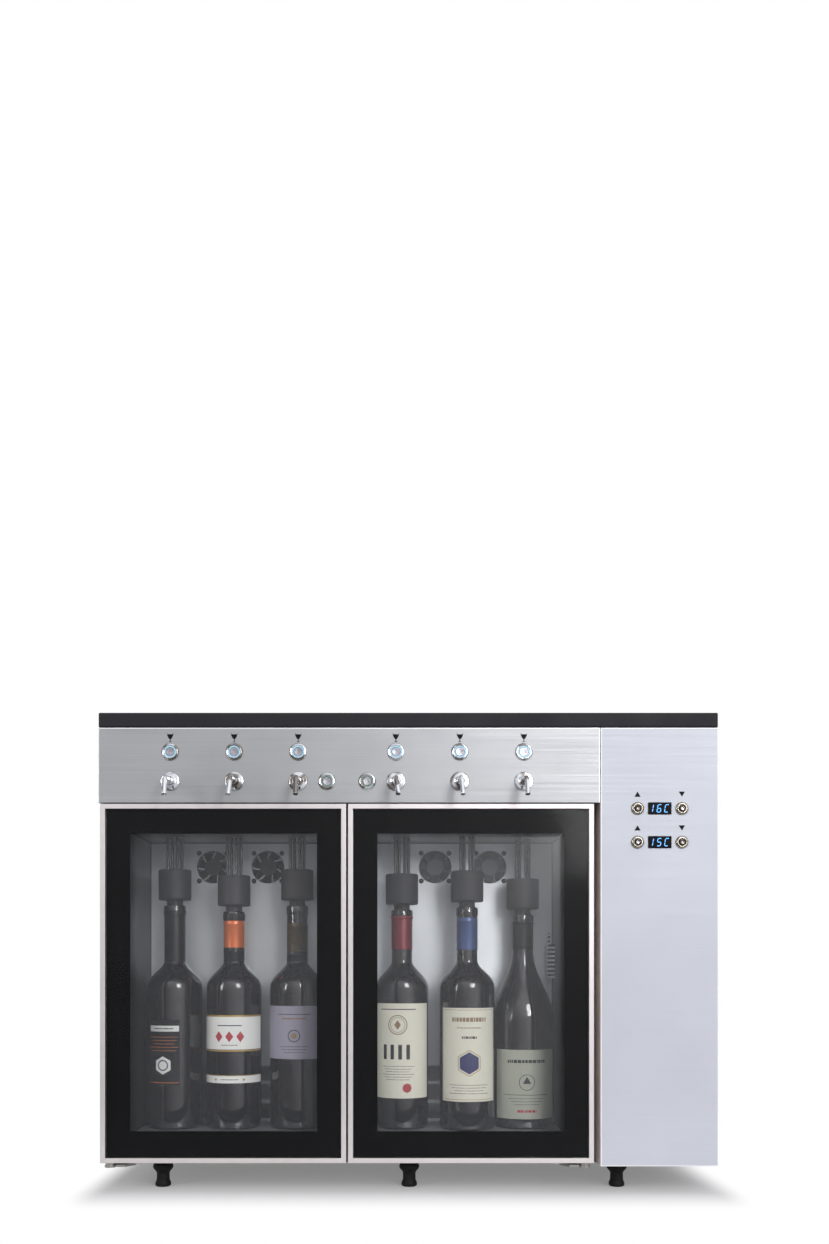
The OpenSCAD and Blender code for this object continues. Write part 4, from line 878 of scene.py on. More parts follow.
for side in ("left", "right"):
    low, high = pane_box[side]
    body = "door_" + side
    node = "door_glass_" + side
    pane = bmesh.new()
    add_box(pane, low, (high.x, low.y + PANE_T, high.z), GLASS_EDGE)
    piece_from("outer_pane_" + side, pane, outer_glass, body, [node])

    border = bmesh.new()
    print_y = low.y + PANE_T
    add_ring(border, (low.x, print_y, low.z), (high.x, print_y + PRINT_T, high.z),
             (BORDER_SIDE, BORDER_SIDE, BORDER_BOTTOM, BORDER_SIDE))
    piece_from("pane_border_" + side, border, border_print, body, [node])

    inner_y = high.y - PANE_T
    left, right = low.x + SPACER_INSET, high.x - SPACER_INSET
    bottom, top = low.z + SPACER_INSET, high.z - SPACER_INSET
    spacer = bmesh.new()
    add_ring(spacer, (left, print_y + PRINT_T, bottom), (right, inner_y, top), (SPACER_W,) * 4)
    piece_from("spacer_bar_" + side, spacer, spacer_metal, body, [node])

    middle_y = (print_y + inner_y) / 2
    start, end = left + SPACER_W, right - SPACER_W
    columns = [start + (k + 0.5) * HOLE_PITCH for k in range(int((end - start) / HOLE_PITCH))]
    places = [(x, middle_y, z) for x in columns for z in (bottom + SPACER_W, top - SPACER_W)]
    repeat("spacer_holes_" + side, hole_mesh, places, hole_painted_shade, body)

    pane = bmesh.new()
    add_box(pane, (left, inner_y, bottom), (right, high.y, top), GLASS_EDGE)
    piece_from("inner_pane_" + side, pane, inner_glass, body, [node])

# %% [markdown]
# ## Bottles
# A wine bottle is blown in a mould and is round about its own axis, so it is lathed: the outline is
# written once, from the hollow in the foot, up the side and over the shoulders, to the lip, and turned.
# Five of the six have the straight body with square shoulders, and the last has long sloping ones. The
# glass is so dark that only its edge, where light passes through less of the wine, shows any colour.

# %% Bottle glass
def bottle_glass(name, heart, rim):
    """Dark glass: almost black in the middle and coloured towards the outline."""
    finish = Finish(name, heart, 0.08).set(ior=1.65, coat_weight=0.6, coat_roughness=0.02)
    edge = finish.node("ShaderNodeLayerWeight", blend=0.35)
    fade = finish.ramp(edge.outputs["Facing"], finish.colour, linear(rim), 0.35, 1.0)
    ripple = finish.noise((30, 30, 6), detail=3)
    finish.link(finish.mix(1.0, fade, finish.ramp(ripple, 0.8, 1.0), "MULTIPLY"), finish.base)
    finish.bump(ripple, 0.04, 0.0004)
    return finish


green_glass = bottle_glass("green_glass", "#17161b", "#50505a")
olive_glass = bottle_glass("olive_glass", "#1e1c1f", "#5c5a59")
print("bottle glass ready")


# %% Outline of a bottle
FOOT_RISE = 14 * MM
NECK_R = 14.3 * MM
MOUTH_R = 9.3 * MM
LIP_BAND = 12 * MM
LIP_PROUD = 0.9 * MM
GLASS_T = 3 * MM
HEEL = 5 * MM
STRAIGHT = {"from": 190 * MM, "to": 231 * MM, "power": 1.35}
SLOPING = {"from": 150 * MM, "to": 246 * MM, "power": 0.95}
WIDE_R = 40.5 * MM


def shoulder(radius, inset, steps):
    """The S-shaped shoulders, as (radius, height over the foot) pairs."""
    form = SLOPING if radius > WIDE_R else STRAIGHT
    wide, narrow = radius - inset, NECK_R - inset
    points = []
    for k in range(steps + 1):
        t = k / steps
        share = (1 + math.cos(math.pi * t ** form["power"])) / 2
        points.append((narrow + (wide - narrow) * share, form["from"] + (form["to"] - form["from"]) * t))
    return points


def bottle_outline(radius, height):
    """The whole wall, from the middle of the foot, outside, over the lip and down the inside."""
    heel = [(radius - HEEL + HEEL * math.sin(a), HEEL - HEEL * math.cos(a))
            for a in (math.radians(d) for d in (5, 20, 40, 60, 75, 90))]
    lip = NECK_R + LIP_PROUD
    outside = [(0, FOOT_RISE), (radius * 0.2, FOOT_RISE * 0.93), (radius * 0.45, FOOT_RISE * 0.55),
               (radius * 0.65, FOOT_RISE * 0.16), (radius - HEEL - 2.6 * MM, 0.1 * MM)]
    band = height - LIP_BAND
    mouth = [(NECK_R, band - 0.6 * MM), (lip - 0.2 * MM, band), (lip, band + 1 * MM),
             (lip, height - 2 * MM), (lip - 0.5 * MM, height - 0.6 * MM), (lip - 1.4 * MM, height),
             (MOUTH_R + 0.6 * MM, height), (MOUTH_R, height - 0.7 * MM), (MOUTH_R, height - 30 * MM)]
    inside = list(reversed(shoulder(radius, inset=GLASS_T, steps=16)))
    floor = [(radius - GLASS_T, HEEL + GLASS_T), (radius - HEEL - GLASS_T, GLASS_T + 1 * MM),
             (radius * 0.45, FOOT_RISE * 0.55 + GLASS_T), (0, FOOT_RISE + GLASS_T)]
    return outside + heel + shoulder(radius, inset=0, steps=32) + mouth + inside + floor


print("the neck is", 2 * NECK_R / MM, "mm wide")

# %% Build the bottles
bottles = []
for i, (low, high) in enumerate(bottle_boxes):
    bottle = {"x": (low.x + high.x) / 2, "y": (low.y + high.y) / 2, "foot": low.z,
              "radius": (high.x - low.x) / 2, "height": high.z - low.z}
    bottles.append(bottle)
    shell = bmesh.new()
    outline = [(r, z + low.z) for r, z in bottle_outline(bottle["radius"], bottle["height"])]
    lathe(shell, outline, (bottle["x"], bottle["y"]), steps=96)
    glass = olive_glass if bottle["radius"] > WIDE_R else green_glass
    piece_from(f"bottle_{i + 1}", shell, glass, "cabinet", ["bottles"], smooth_angle=35)
print([f"{b['radius'] / MM:.1f} x {b['height'] / MM:.0f} mm" for b in bottles])

# %% [markdown]
# ## Hoses, one piece for each cap
# Each cap hangs on soft hoses from the valves above, and when it is lifted off its bottle they fold up.
# The imported model has all the hoses as one fixed node. Here its mesh is split into one piece for each
# cap, by the bottle that each face is nearest to.

# %% Split the hoses
for i, bottle in enumerate(bottles):
    hoses = bmesh.new()
    hoses.from_mesh(nodes["wine_lines"].data)
    others = [face for face in hoses.faces
              if min(bottles, key=lambda b, at=face.calc_center_median(): abs(b["x"] - at.x)) is not bottle]
    bmesh.ops.delete(hoses, geom=others, context="FACES")
    print("hoses", i + 1, "keep", len(hoses.faces), "faces")
    piece = piece_from(f"wine_hoses_{i + 1}", hoses, hose_clear, None, ["wine_lines"], smooth_angle=40)
    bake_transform(piece)

# %% [markdown]
# ## Neck foils
# A capsule of thin tin or plastic is spun onto the neck, tight enough to show the glass lip under it.
# Each is a lathed sleeve a quarter of a millimetre off the glass, with a small bead where it was rolled.
# The wrinkles that spinning leaves run down the neck, so the bump noise is stretched along Z.

# %% Build the foils
FOIL_T = 0.25 * MM
BEAD = 0.35 * MM
BEAD_FROM_TOP = (6 * MM, 5 * MM, 4 * MM)
UNDER_LIP = 1 * MM


def foil_finish(name, colour, speckle=0.12):
    """Lacquered tin foil with fine wrinkles down the neck."""
    finish = Finish(name, colour, 0.34, 0.35)
    wrinkles = finish.noise((260, 260, 18), detail=3)
    finish.vary(finish.noise((420, 420, 420), detail=2), 1 - speckle, 1 + speckle)
    finish.bump(wrinkles, 0.3, 0.0002)
    return finish


orange_foil = foil_finish("orange_foil", "#dd7646")
bronze_foil = foil_finish("bronze_foil", "#4d4029", 0.7)
red_foil = foil_finish("red_foil", "#83363f")
blue_foil = foil_finish("blue_foil", "#4f6394")
black_foil = foil_finish("black_foil", "#1b1b1f")


def foil(i, bottom, top, finish, name):
    """A sleeve on the neck of bottle i, between two heights over the foot."""
    bottle = bottles[i]
    lip_at = bottle["height"] - LIP_BAND
    radius = NECK_R + FOIL_T
    outside = [(radius, bottom), (radius, min(top, lip_at - UNDER_LIP))]
    if top > lip_at:
        outside += [(radius + LIP_PROUD, lip_at), (radius + LIP_PROUD, top)]
    else:
        outside[1:1] = [(radius + proud, top - down) for proud, down in zip((0, BEAD, 0), BEAD_FROM_TOP)]
    inside = [(radius - FOIL_T * 0.8, height) for radius, height in reversed(outside)]
    sleeve = bmesh.new()
    loop = [(radius, height + bottle["foot"]) for radius, height in outside + inside]
    lathe(sleeve, loop + loop[:1], (bottle["x"], bottle["y"]), steps=48)
    piece_from(f"{name}_{i + 1}", sleeve, finish, "cabinet", smooth_angle=30)


for i, bottom, top, finish, name in (
        (0, 206, 300, black_foil, "neck_foil"), (1, 208, 248.6, black_foil, "neck_foil"),
        (1, 248.7, 285.7, orange_foil, "neck_band"), (1, 285.8, 296, black_foil, "neck_foil_top"),
        (2, 212, 243.1, black_foil, "neck_foil"), (2, 243.2, 282.8, bronze_foil, "neck_band"),
        (3, 246, 292.5, red_foil, "neck_foil"), (4, 245.5, 289.5, blue_foil, "neck_foil"),
        (5, 247, 284, black_foil, "neck_foil")):
    foil(i, bottom * MM, top * MM, finish, name)
print("foils on the necks")

# %% [markdown]
# ## Printed labels
# A label is flat paper wrapped round the glass. It is easiest to draw flat: u runs round the bottle and v
# up it, both in millimetres. The flat shapes are cut into strips two millimetres wide, given a paper's
# thickness, and only then bent, by turning u into an angle. Every label here is a plain design of its
# own, made of rules, rings, lozenges and rows of short dashes, in the sort of colours that wine labels
# have.

# %% Flat shapes for the labels
DASH_LONG = (1.2, 5.0)
DASH_GAP = (0.7, 1.1)
DASH_LEAST = 0.6


def bar(u0, v0, u1, v1):
    """A rectangle, as a list with one outline."""
    return [[(u0, v0), (u1, v0), (u1, v1), (u0, v1)]]


def rounded(u, v, across, up, corners=28):
    """An ellipse, or with few corners a polygon that stands on a corner."""
    turn = [2 * math.pi * k / corners for k in range(corners)]
    return [[(u + across / 2 * math.sin(a), v + up / 2 * math.cos(a)) for a in turn]]


def band_ring(u, v, across, width, corners=28):
    """A ring of that width, as one outline per side."""
    def at(radius, k):
        """Corner k of a circle."""
        a = 2 * math.pi * k / corners
        return (u + radius * math.sin(a), v + radius * math.cos(a))
    outer, inner = across / 2, across / 2 - width
    return [[at(outer, k), at(outer, k + 1), at(inner, k + 1), at(inner, k)] for k in range(corners)]


def border(u0, v0, u1, v1, width):
    """A thin frame made of four bars."""
    return (bar(u0, v0, u1, v0 + width) + bar(u0, v1 - width, u1, v1)
            + bar(u0, v0 + width, u0 + width, v1 - width) + bar(u1 - width, v0 + width, u1, v1 - width))


def dashes(u0, u1, v, tall, seed):
    """A row of short dashes of uneven length, like a line of small print seen from afar."""
    spread = random.Random(seed)
    shapes, u = [], u0
    while u < u1:
        long = min(spread.uniform(*DASH_LONG), u1 - u)
        if long > DASH_LEAST:
            shapes += bar(u, v, u + long, v + tall)
        u += long + spread.uniform(*DASH_GAP)
    return shapes


print("a round shape has", len(rounded(0, 0, 10, 10)[0]), "corners")

# %% Bend a flat label round its bottle
STRIP = 2 * MM
GLUE_T = 0.1 * MM
PAPER_T = 0.12 * MM
INK_T = 0.05 * MM
INK_SINK = 0.02 * MM


def flat_sheet(shapes):
    """A bmesh of flat outlines, given in millimetres, in the XZ plane."""
    bm = bmesh.new()
    for outline in shapes:
        bm.faces.new([bm.verts.new((u * MM, 0, v * MM)) for u, v in outline])
    bmesh.ops.remove_doubles(bm, verts=bm.verts, dist=WELD)
    return bm


def thicken(bm, thick):
    """Gives flat faces a second face in front, towards -Y, and closes the rim between them."""
    faces, rim = list(bm.faces), [edge for edge in bm.edges if len(edge.link_faces) == 1]
    front = {vert: bm.verts.new(vert.co - Vector((0, thick, 0))) for vert in list(bm.verts)}
    for face in faces:
        bm.faces.new([front[vert] for vert in face.verts])
    for edge in rim:
        a, b = edge.verts
        bm.faces.new((a, b, front[b], front[a]))


def wrap(target, shapes, bottle, turn, lift, thick, index):
    """Bends flat outlines round a bottle and adds them to the target bmesh."""
    flat = flat_sheet(shapes)
    reach = max(abs(vert.co.x) for vert in flat.verts)
    for k in range(-int(reach / STRIP), int(reach / STRIP) + 1):
        bmesh.ops.bisect_plane(flat, geom=flat.verts[:] + flat.edges[:] + flat.faces[:],
                               plane_co=(k * STRIP, 0, 0), plane_no=(1, 0, 0), dist=WELD)
    thicken(flat, thick)
    for vert in flat.verts:
        angle = math.radians(turn) + vert.co.x / bottle["radius"]
        radius = bottle["radius"] + lift - vert.co.y
        vert.co = (bottle["x"] + radius * math.sin(angle), bottle["y"] - radius * math.cos(angle),
                   bottle["foot"] + vert.co.z)
    for face in flat.faces:
        face.material_index = index
    bent = bmesh_to_mesh(flat)
    target.from_mesh(bent)
    bpy.data.meshes.remove(bent)


def label(name, bottle, turn, layers):
    """One label: a list of (finish, shapes), paper first and inks after it."""
    bm = bmesh.new()
    for index, (_, shapes) in enumerate(layers):
        lift, thick = (GLUE_T + PAPER_T - INK_SINK, INK_T) if index else (GLUE_T, PAPER_T)
        wrap(bm, shapes, bottle, turn, lift, thick, index)
    piece_from(name, bm, [finish for finish, _ in layers], "cabinet", smooth_angle=30)


print("labels are cut every", STRIP / MM, "mm")


# %% Papers and inks
def paper(name, colour):
    """Uncoated label paper: fibres make it faintly uneven, and it is quite matt."""
    finish = Finish(name, colour, 0.75)
    fibres = finish.noise((900, 900, 350), detail=4)
    finish.vary(fibres, 0.95, 1.03)
    finish.bump(fibres, 0.15, 0.00002)
    return finish


def ink(name, colour):
    """Printing ink, a little thinner in places."""
    finish = Finish(name, colour, 0.5)
    finish.vary(finish.noise((500, 500, 500)), 1.0, 1.5)
    return finish


white_paper = paper("white_paper", "#f8f9f5")
cream_paper = paper("cream_paper", "#f5f3e2")
lilac_paper = paper("lilac_paper", "#a5a2b3")
# Label 6's paper is painted greyer than the others: painted shade, as its bottle stands farther back in the
# chamber's shade.
painted_shade_paper = paper("painted_shade_paper", "#b9bcae")
black_paper = paper("black_paper", "#1d1d22")
black_ink = ink("black_ink", "#25262a")
brown_ink = ink("brown_ink", "#8a7356")
red_ink = ink("red_ink", "#a8323a")
navy_ink = ink("navy_ink", "#2b2c5e")
orange_ink = ink("orange_ink", "#b0662a")
gold_ink = foil_finish("gold_ink", "#b89a55")
print("papers and inks ready")


# %% Design the six labels
ROW_INSET = 0.07


def rows(u0, u1, top, count, pitch, tall, seed):
    """Rows of dashes, one under another and centred; each group of three rows gets narrower."""
    shapes = []
    for k in range(count):
        inset = (k % 3) * (u1 - u0) * ROW_INSET
        shapes += dashes(u0 + inset, u1 - inset, top - k * pitch, tall, seed + k)
    return shapes


label("label_1", bottles[0], -14, [
    (black_paper, bar(-22.7, 61, 22.7, 150)),
    (white_paper, bar(-22, 134, 22, 142) + rounded(0, 88, 25, 25, 6)),
    (orange_ink, rows(-21, 21, 126, 5, 4.6, 0.9, 3) + bar(-22, 64, 22, 65)),
    (navy_ink, band_ring(0, 88, 15, 1.6) + bar(-14, 137.2, 14, 138.8)),
])
label("label_2", bottles[1], -2, [
    (white_paper, bar(-54, 109.5, 54, 154) + bar(-54, 63.7, 54, 73.5)),
    (gold_ink, bar(-54, 154, 54, 156.4) + bar(-54, 106.7, 54, 109) + bar(-54, 73.6, 54, 74.6)
     + rounded(-20, 68.5, 4, 4, 4) + rounded(20, 68.5, 4, 4, 4)),
    (red_ink, rounded(-15, 127, 11, 15, 4) + rounded(0, 127, 11, 15, 4) + rounded(15, 127, 11, 15, 4)),
    (black_ink, bar(-17, 141.5, 17, 142.8) + rows(-11, 11, 115, 1, 3, 0.9, 12)
     + rows(-12, 12, 68, 1, 3, 1.1, 14)),
])
label("label_3", bottles[2], -2, [
    (lilac_paper, bar(-56, 96.5, 56, 168.8)),
    (black_ink, band_ring(0, 128, 17, 1.2) + bar(-24, 157, 24, 157.8) + rows(-20, 20, 113, 3, 4, 0.8, 21)),
    (brown_ink, rounded(0, 128, 8.5, 8.5, 6) + rows(-17, 17, 150.5, 1, 3, 2.4, 25)),
])
label("label_4", bottles[3], -10, [
    (cream_paper, bar(-50, 43, 50, 172.2)),
    (black_ink, [s for k in range(4) for s in bar(-21 + k * 11, 96, -16 + k * 11, 116)]
     + bar(-26, 163.5, 26, 164.7) + rows(-23, 23, 86, 6, 3.6, 0.7, 31)),
    (brown_ink, band_ring(0, 143, 27, 1.2) + band_ring(0, 143, 21, 0.7) + rounded(0, 143, 9, 13, 4)),
    (red_ink, rounded(13, 57, 13, 13, 8)),
])
label("label_5", bottles[4], 0.7, [
    (cream_paper, bar(-42.8, 40, 42.8, 166.5)),
    (gold_ink, border(-40.5, 42.5, 40.5, 164, 0.6) + band_ring(0, 92, 36, 1.1, 6)),
    (navy_ink, rounded(0, 92, 30, 30, 6)),
    (brown_ink, rows(-24, 24, 148, 1, 4, 5.5, 41) + rows(-17, 17, 139, 1, 4, 1.2, 43)),
    (black_ink, rows(-28, 28, 62, 4, 3.8, 0.7, 45) + rows(-10, 10, 125, 1, 4, 3.2, 49)),
])
label("label_6", bottles[5], 1, [
    (painted_shade_paper, bar(-47.3, 14.6, 47.3, 108.9)),
    (black_ink, rounded(0, 66, 13, 13, 3) + band_ring(0, 64.5, 22, 0.8) + bar(-33, 47, 33, 47.7)
     + rows(-27, 27, 91, 1, 4, 4.2, 51) + rows(-25, 25, 42, 3, 4, 0.7, 53)),
    (red_ink, rows(-13, 13, 23.5, 1, 4, 3.4, 58)),
])
print("six labels")

# %% [markdown]
# ## Printed signs on the steel
# A small sign over each pouring button shows a stemmed glass, half full, and triangles over the
# temperature buttons point up and down. On the real panel they are screen printed, so each is a film a
# few hundredths of a millimetre thick. One sign is drawn, and the repeating tree sets it over every
# button.

# %% Signs
FILM_T = 0.06 * MM
TRIANGLE_SIZE = (8, 6.8)
SIGN_OVER_BUTTON = 19 * MM
TRIANGLE_OVER_BUTTON = 18.4 * MM

panel_ink = ink("panel_ink", "#0d0e10").set(specular_ior_level=0.1)


def film(shapes):
    """A thin printed film in the XZ plane, in front of Y = 0, as a mesh to repeat."""
    bm = flat_sheet(shapes)
    thicken(bm, FILM_T)
    bmesh.ops.recalc_face_normals(bm, faces=bm.faces)
    return bmesh_to_mesh(bm)


BOWL = [(4.2, 5.4), (4.0, 3.4), (3.4, 1.2), (2.2, -1.2), (0.5, -2.8)]
FILLED = [(3.9, 3.7), (3.4, 1.2), (2.2, -1.2), (0.5, -2.8)]
WALL = 0.6


def glass_sign():
    """Outline of a stemmed glass: thin bowl, filled lower half, stem and foot."""
    right = [[BOWL[k], BOWL[k + 1], (BOWL[k + 1][0] - WALL * 0.6, BOWL[k + 1][1] + WALL * 0.5),
              (BOWL[k][0] - WALL, BOWL[k][1])] for k in range(2)]
    left = [[(-u, v) for u, v in quad] for quad in right]
    wine = [FILLED + [(-u, v) for u, v in reversed(FILLED)]]
    return right + left + wine + bar(-0.5, -5.7, 0.5, -2.82) + bar(-1.9, -6.3, 1.9, -5.7)


def triangle(tip):
    """A triangle that points up if tip is 1, or down if it is -1."""
    u, v = TRIANGLE_SIZE[0] / 2, TRIANGLE_SIZE[1] / 2 * tip
    return [[(-u, -v), (u, -v), (0, v)]]


repeat("glass_signs", film(glass_sign()), [(b.x, front_y, b.z + SIGN_OVER_BUTTON) for b in buttons],
       panel_ink, "cabinet")
for name, tip, chosen in (("up_signs", 1, temp_buttons[0::2]), ("down_signs", -1, temp_buttons[1::2])):
    repeat(name, film(triangle(tip)), [(b.x, front_y, b.z + TRIANGLE_OVER_BUTTON) for b in chosen],
           panel_ink, "cabinet")

# %% [markdown]
# ## Temperature displays
# Each window shows two figures and a C, made of seven-segment bars that lean to the right. A bar is a
# flat six-cornered strip of lit plastic, so a table says which of the seven are on for each sign, and one
# function draws them all.

# %% Display digits
SEGMENTS = {"1": "bc", "6": "acdefg", "5": "acdfg", "C": "adef"}
DIGIT_W = 4.6
DIGIT_H = 9.6
BAR_W = 1.05
BAR_GAP = 0.25
LEAN = math.tan(math.radians(10))
DIGIT_AT = (-11.2, -0.9, 8.9)
LENS_PROUD = 0.9 * MM


def segment(a, b):
    """A six-cornered bar from point a to point b."""
    along = Vector((b[0] - a[0], b[1] - a[1])).normalized()
    side = Vector((-along.y, along.x)) * BAR_W / 2
    start, end = Vector(a) + along * BAR_GAP, Vector(b) - along * BAR_GAP
    slope = along * BAR_W / 2
    return [tuple(p) for p in (start, start + slope + side, end - slope + side, end, end - slope - side,
                               start + slope - side)]


def digit(sign, centre):
    """The lit bars of one sign, leaning to the right."""
    w, h = DIGIT_W / 2, DIGIT_H / 2
    ends = {"a": ((-w, h), (w, h)), "b": ((w, h), (w, 0)), "c": ((w, 0), (w, -h)), "d": ((-w, -h), (w, -h)),
            "e": ((-w, 0), (-w, -h)), "f": ((-w, h), (-w, 0)), "g": ((-w, 0), (w, 0))}
    return [[(centre + u + v * LEAN, v) for u, v in segment(*ends[bar_name])] for bar_name in SEGMENTS[sign]]


blue_light = Finish("blue_light", "#3aa7f0", 0.4)
glow = blue_light.ramp(blue_light.noise((190, 190, 190)), linear("#37b4f6"), linear("#8f9dff"))
blue_light.link(glow, blue_light.shader.inputs["Emission Color"])
blue_light.set(emission_strength=0.9)

display_x = (temp_buttons[0].x + temp_buttons[1].x) / 2
for row, reading in ((0, "16C"), (1, "15C")):
    shapes = [bar_shape for sign, at in zip(reading, DIGIT_AT) for bar_shape in digit(sign, at)]
    repeat(f"reading_{row + 1}", film(shapes), [(display_x, front_y - LENS_PROUD, temp_buttons[row * 2].z)],
           blue_light, "cabinet")

# %% [markdown]
# ## Screws
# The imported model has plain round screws. Real ones have a crossed recess for the driver, so they are
# replaced: a domed head is lathed, a cross is cut out of it with a Boolean, and the tree repeats it, each
# turned by a random angle, as screws are when they are driven home.

# %% Screws
def screw_mesh(radius, tall, shank_radius, shank_long):
    """A domed head with a crossed recess. The head's seat is at Y = 0 and the head points to -Y."""
    head = bmesh.new()
    dome = [(0, tall), (radius * 0.35, tall * 0.97), (radius * 0.7, tall * 0.82), (radius * 0.92, tall * 0.5),
            (radius, tall * 0.2), (radius, 0), (shank_radius, 0), (shank_radius, -shank_long),
            (0, -shank_long)]
    lathe(head, list(reversed(dome)), (0, 0), steps=24)
    bmesh.ops.remove_doubles(head, verts=head.verts, dist=WELD)
    bmesh.ops.recalc_face_normals(head, faces=head.faces)
    cross = bmesh.new()
    arm, half = radius * 0.55, radius * 0.13
    corners = [(arm, half), (half, half), (half, arm), (-half, arm), (-half, half), (-arm, half),
               (-arm, -half), (-half, -half), (-half, -arm), (half, -arm), (half, -half), (arm, -half)]
    bottom = [cross.verts.new((x * 0.7, y * 0.7, tall * 0.35)) for x, y in corners]
    top = [cross.verts.new((x, y, tall * 1.2)) for x, y in corners]
    cross.faces.new(bottom)
    cross.faces.new(top)
    for k in range(len(corners)):
        n = (k + 1) % len(corners)
        cross.faces.new((bottom[k], bottom[n], top[n], top[k]))
    bmesh.ops.recalc_face_normals(cross, faces=cross.faces)
    blank, cutter = (place_object("screw_part", bmesh_to_mesh(bm)) for bm in (head, cross))
    cut = blank.modifiers.new("cut", "BOOLEAN")
    cut.operation = "DIFFERENCE"
    cut.solver = "EXACT"
    cut.object = cutter
    mesh = bpy.data.meshes.new_from_object(blank.evaluated_get(bpy.context.evaluated_depsgraph_get()))
    bpy.data.objects.remove(blank)
    bpy.data.objects.remove(cutter)
    mesh.transform(Matrix.Rotation(math.radians(90), 4, "X"))
    return mesh


FAN_HEAD_T = 1.6 * MM
NARROWEST_HEAD = 3.5 * MM

screw_boxes = islands("panel_screws")
back_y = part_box("back_panel")[1].y
back_screws = [(low, high) for low, high in screw_boxes if high.y > back_y]
fan_screws = [(low, high) for low, high in screw_boxes if high.y < back_y and high.x - low.x > NARROWEST_HEAD]
big = screw_mesh(radius=3.5 * MM, tall=2 * MM, shank_radius=1.8 * MM, shank_long=1 * MM)
big.transform(Matrix.Rotation(math.pi, 4, "Z"))
small = screw_mesh(radius=3.6 * MM, tall=FAN_HEAD_T, shank_radius=1.5 * MM, shank_long=13.6 * MM)
repeat("back_screws", big, [((a.x + b.x) / 2, back_y, (a.z + b.z) / 2) for a, b in back_screws],
       screw_steel, "cabinet", turn=math.pi, seed=4, stands_for=["panel_screws"])
repeat("fan_screws", small, [((a.x + b.x) / 2, a.y + FAN_HEAD_T, (a.z + b.z) / 2) for a, b in fan_screws],
       screw_dark, "cabinet", turn=math.pi, seed=7, stands_for=["panel_screws"])

# %% [markdown]
# ## Stage and light
# The photograph is a studio shot on white, with only a soft grey shadow under the cabinet. The floor is a
# pale grey and keeps that shadow. Away from the object it turns into plain white for the camera, for
# mirrors and through glass, so no horizon shows, and a wall behind does the same. One large soft lamp
# stands high at the front right, which puts the bright spots on the upper right of the bottles, with a
# weaker one at the left.

# %% Floor and backdrop
FLOOR_GREY = (0.58, 0.575, 0.585, 1)
SHADOW_INSET = (0.01, 0.06)
FADE_STEEPNESS = (2.6, 1, 1)
OVER_ALL = 9


def stage_white(name, far, shadow_lift):
    """Pale surface that turns white within far of the object's outline. Height never counts."""
    finish = Finish(name, FLOOR_GREY, 0.9).set(specular_ior_level=0.0)
    half = [(cad_box[1][k] - cad_box[0][k]) / 2 - SHADOW_INSET[k] for k in range(2)]
    beyond = finish.vector("SUBTRACT", finish.vector("ABSOLUTE", finish.place), (*half, OVER_ALL))
    outside = finish.vector("MAXIMUM", beyond, (0, 0, 0))
    away = finish.vector("LENGTH", finish.vector("MULTIPLY", outside, FADE_STEEPNESS))
    reach = finish.between(away, 0.0, far, shadow_lift, 1.0)
    rays = finish.node("ShaderNodeLightPath").outputs
    seen = rays["Is Camera Ray"]
    for kind in ("Is Glossy Ray", "Is Transmission Ray"):
        seen = finish.math("MAXIMUM", seen, rays[kind])
    white = finish.node("ShaderNodeEmission")
    finish.show_mix(finish.math("MULTIPLY", seen, reach), finish.shader.outputs["BSDF"],
                    white.outputs["Emission"])
    return finish


def stage_sheet(name, corners, finish):
    """A flat sheet between four corners that isn't part of the object."""
    mesh = bpy.data.meshes.new(name)
    mesh.from_pydata(corners, [], [(0, 1, 2, 3)])
    mesh.materials.append(finish.material)
    sheet = place_object(name, mesh)


FLOOR_HALF = 6
TABLE_FRONT = -0.42
WALL_AT = 3
WALL_TALL = 5
floor_white = stage_white("floor_white", far=0.12, shadow_lift=0.19)
wall_white = stage_white("wall_white", far=0.1, shadow_lift=1.0)
stage_sheet("floor", [(-FLOOR_HALF, TABLE_FRONT, 0), (FLOOR_HALF, TABLE_FRONT, 0),
                      (FLOOR_HALF, FLOOR_HALF, 0), (-FLOOR_HALF, FLOOR_HALF, 0)], floor_white)
stage_sheet("backdrop", [(-FLOOR_HALF, WALL_AT, 0), (FLOOR_HALF, WALL_AT, 0),
                         (FLOOR_HALF, WALL_AT, WALL_TALL), (-FLOOR_HALF, WALL_AT, WALL_TALL)], wall_white)
print("the table ends at y =", TABLE_FRONT)

# %% Soft lamps
LAMPS_FACE = (0, 0, 0.3)


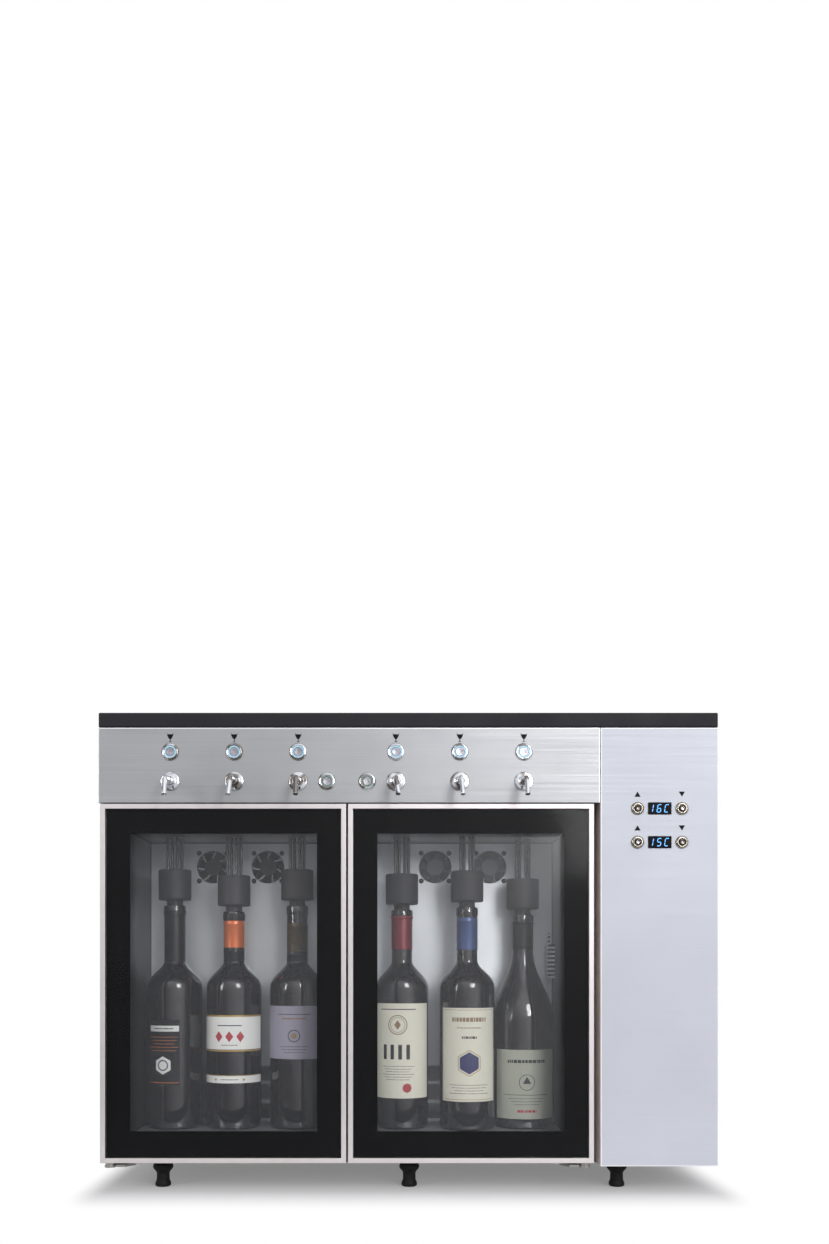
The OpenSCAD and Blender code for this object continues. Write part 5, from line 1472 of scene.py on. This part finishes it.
def soft_lamp(name, at, size, power):
    """An oblong area lamp that faces the cabinet."""
    data = bpy.data.lights.new(name, "AREA")
    data.shape = "RECTANGLE"
    data.size, data.size_y = size
    data.energy = power
    lamp = place_object(name, data)
    lamp.location = at
    lamp.rotation_euler = (Vector(LAMPS_FACE) - Vector(at)).to_track_quat("-Z", "Y").to_euler()


soft_lamp("key_lamp", at=(0.9, -2.35, 1.16), size=(0.75, 1.1), power=28)
soft_lamp("fill_lamp", at=(-1.9, -1.7, 1.0), size=(0.45, 1.5), power=20)
bpy.context.scene.view_settings.view_transform = "Standard"
print(len(bpy.data.lights), "lamps")

# %% [markdown]
# ## The room round the table
# Chrome looks like chrome only when it has something dark to mirror. So the room that the metal sees
# isn't one grey: it is pale towards the ceiling at the right, where the large lamp is, and dark brown low at
# the left, and the white table ends a little way in front of the cabinet. The side behind the cabinet is
# the white background, and the camera sees plain white wherever it looks past the table.

# %% World
LIGHT_FROM = Vector((0.45, -0.55, 0.7)).normalized()
BEHIND_FADE = 0.2
ROOM_DARK = (0.05, 0.042, 0.035, 1)
ROOM_PALE = (1.15, 1.15, 1.18, 1)
ROOM_TONES = ((0.6, (0.1, 0.09, 0.09, 1)), (0.74, (0.48, 0.48, 0.5, 1)), (0.86, (0.95, 0.95, 0.98, 1)))

world = bpy.data.worlds.new("studio")
bpy.context.scene.world = world
world.use_nodes = True
room = NodeRecipe(world.node_tree)
background = room.tree.nodes["Background"]
towards_light = room.between(room.vector("DOT_PRODUCT", room.place, LIGHT_FROM), -1.0, 1.0, kind="LINEAR")
tones = room.node("ShaderNodeValToRGB")
room.link(towards_light, tones.inputs["Fac"])
tones.color_ramp.elements[0].color = ROOM_DARK
tones.color_ramp.elements[1].color = ROOM_PALE
for at, tone in ROOM_TONES:
    tones.color_ramp.elements.new(at).color = tone

past_cabinet = room.between(room.split()["Y"], 0.0, BEHIND_FADE, kind="LINEAR")
rays = room.node("ShaderNodeLightPath").outputs
seen = room.math("MULTIPLY", past_cabinet, rays["Is Glossy Ray"])
for kind in ("Is Camera Ray", "Is Transmission Ray"):
    seen = room.math("MAXIMUM", seen, rays[kind])
room.link(room.mix(seen, tones.outputs["Color"], WHITE), background.inputs["Color"])
background.inputs["Strength"].default_value = 1.0
print("world has", len(room.tree.nodes), "nodes")
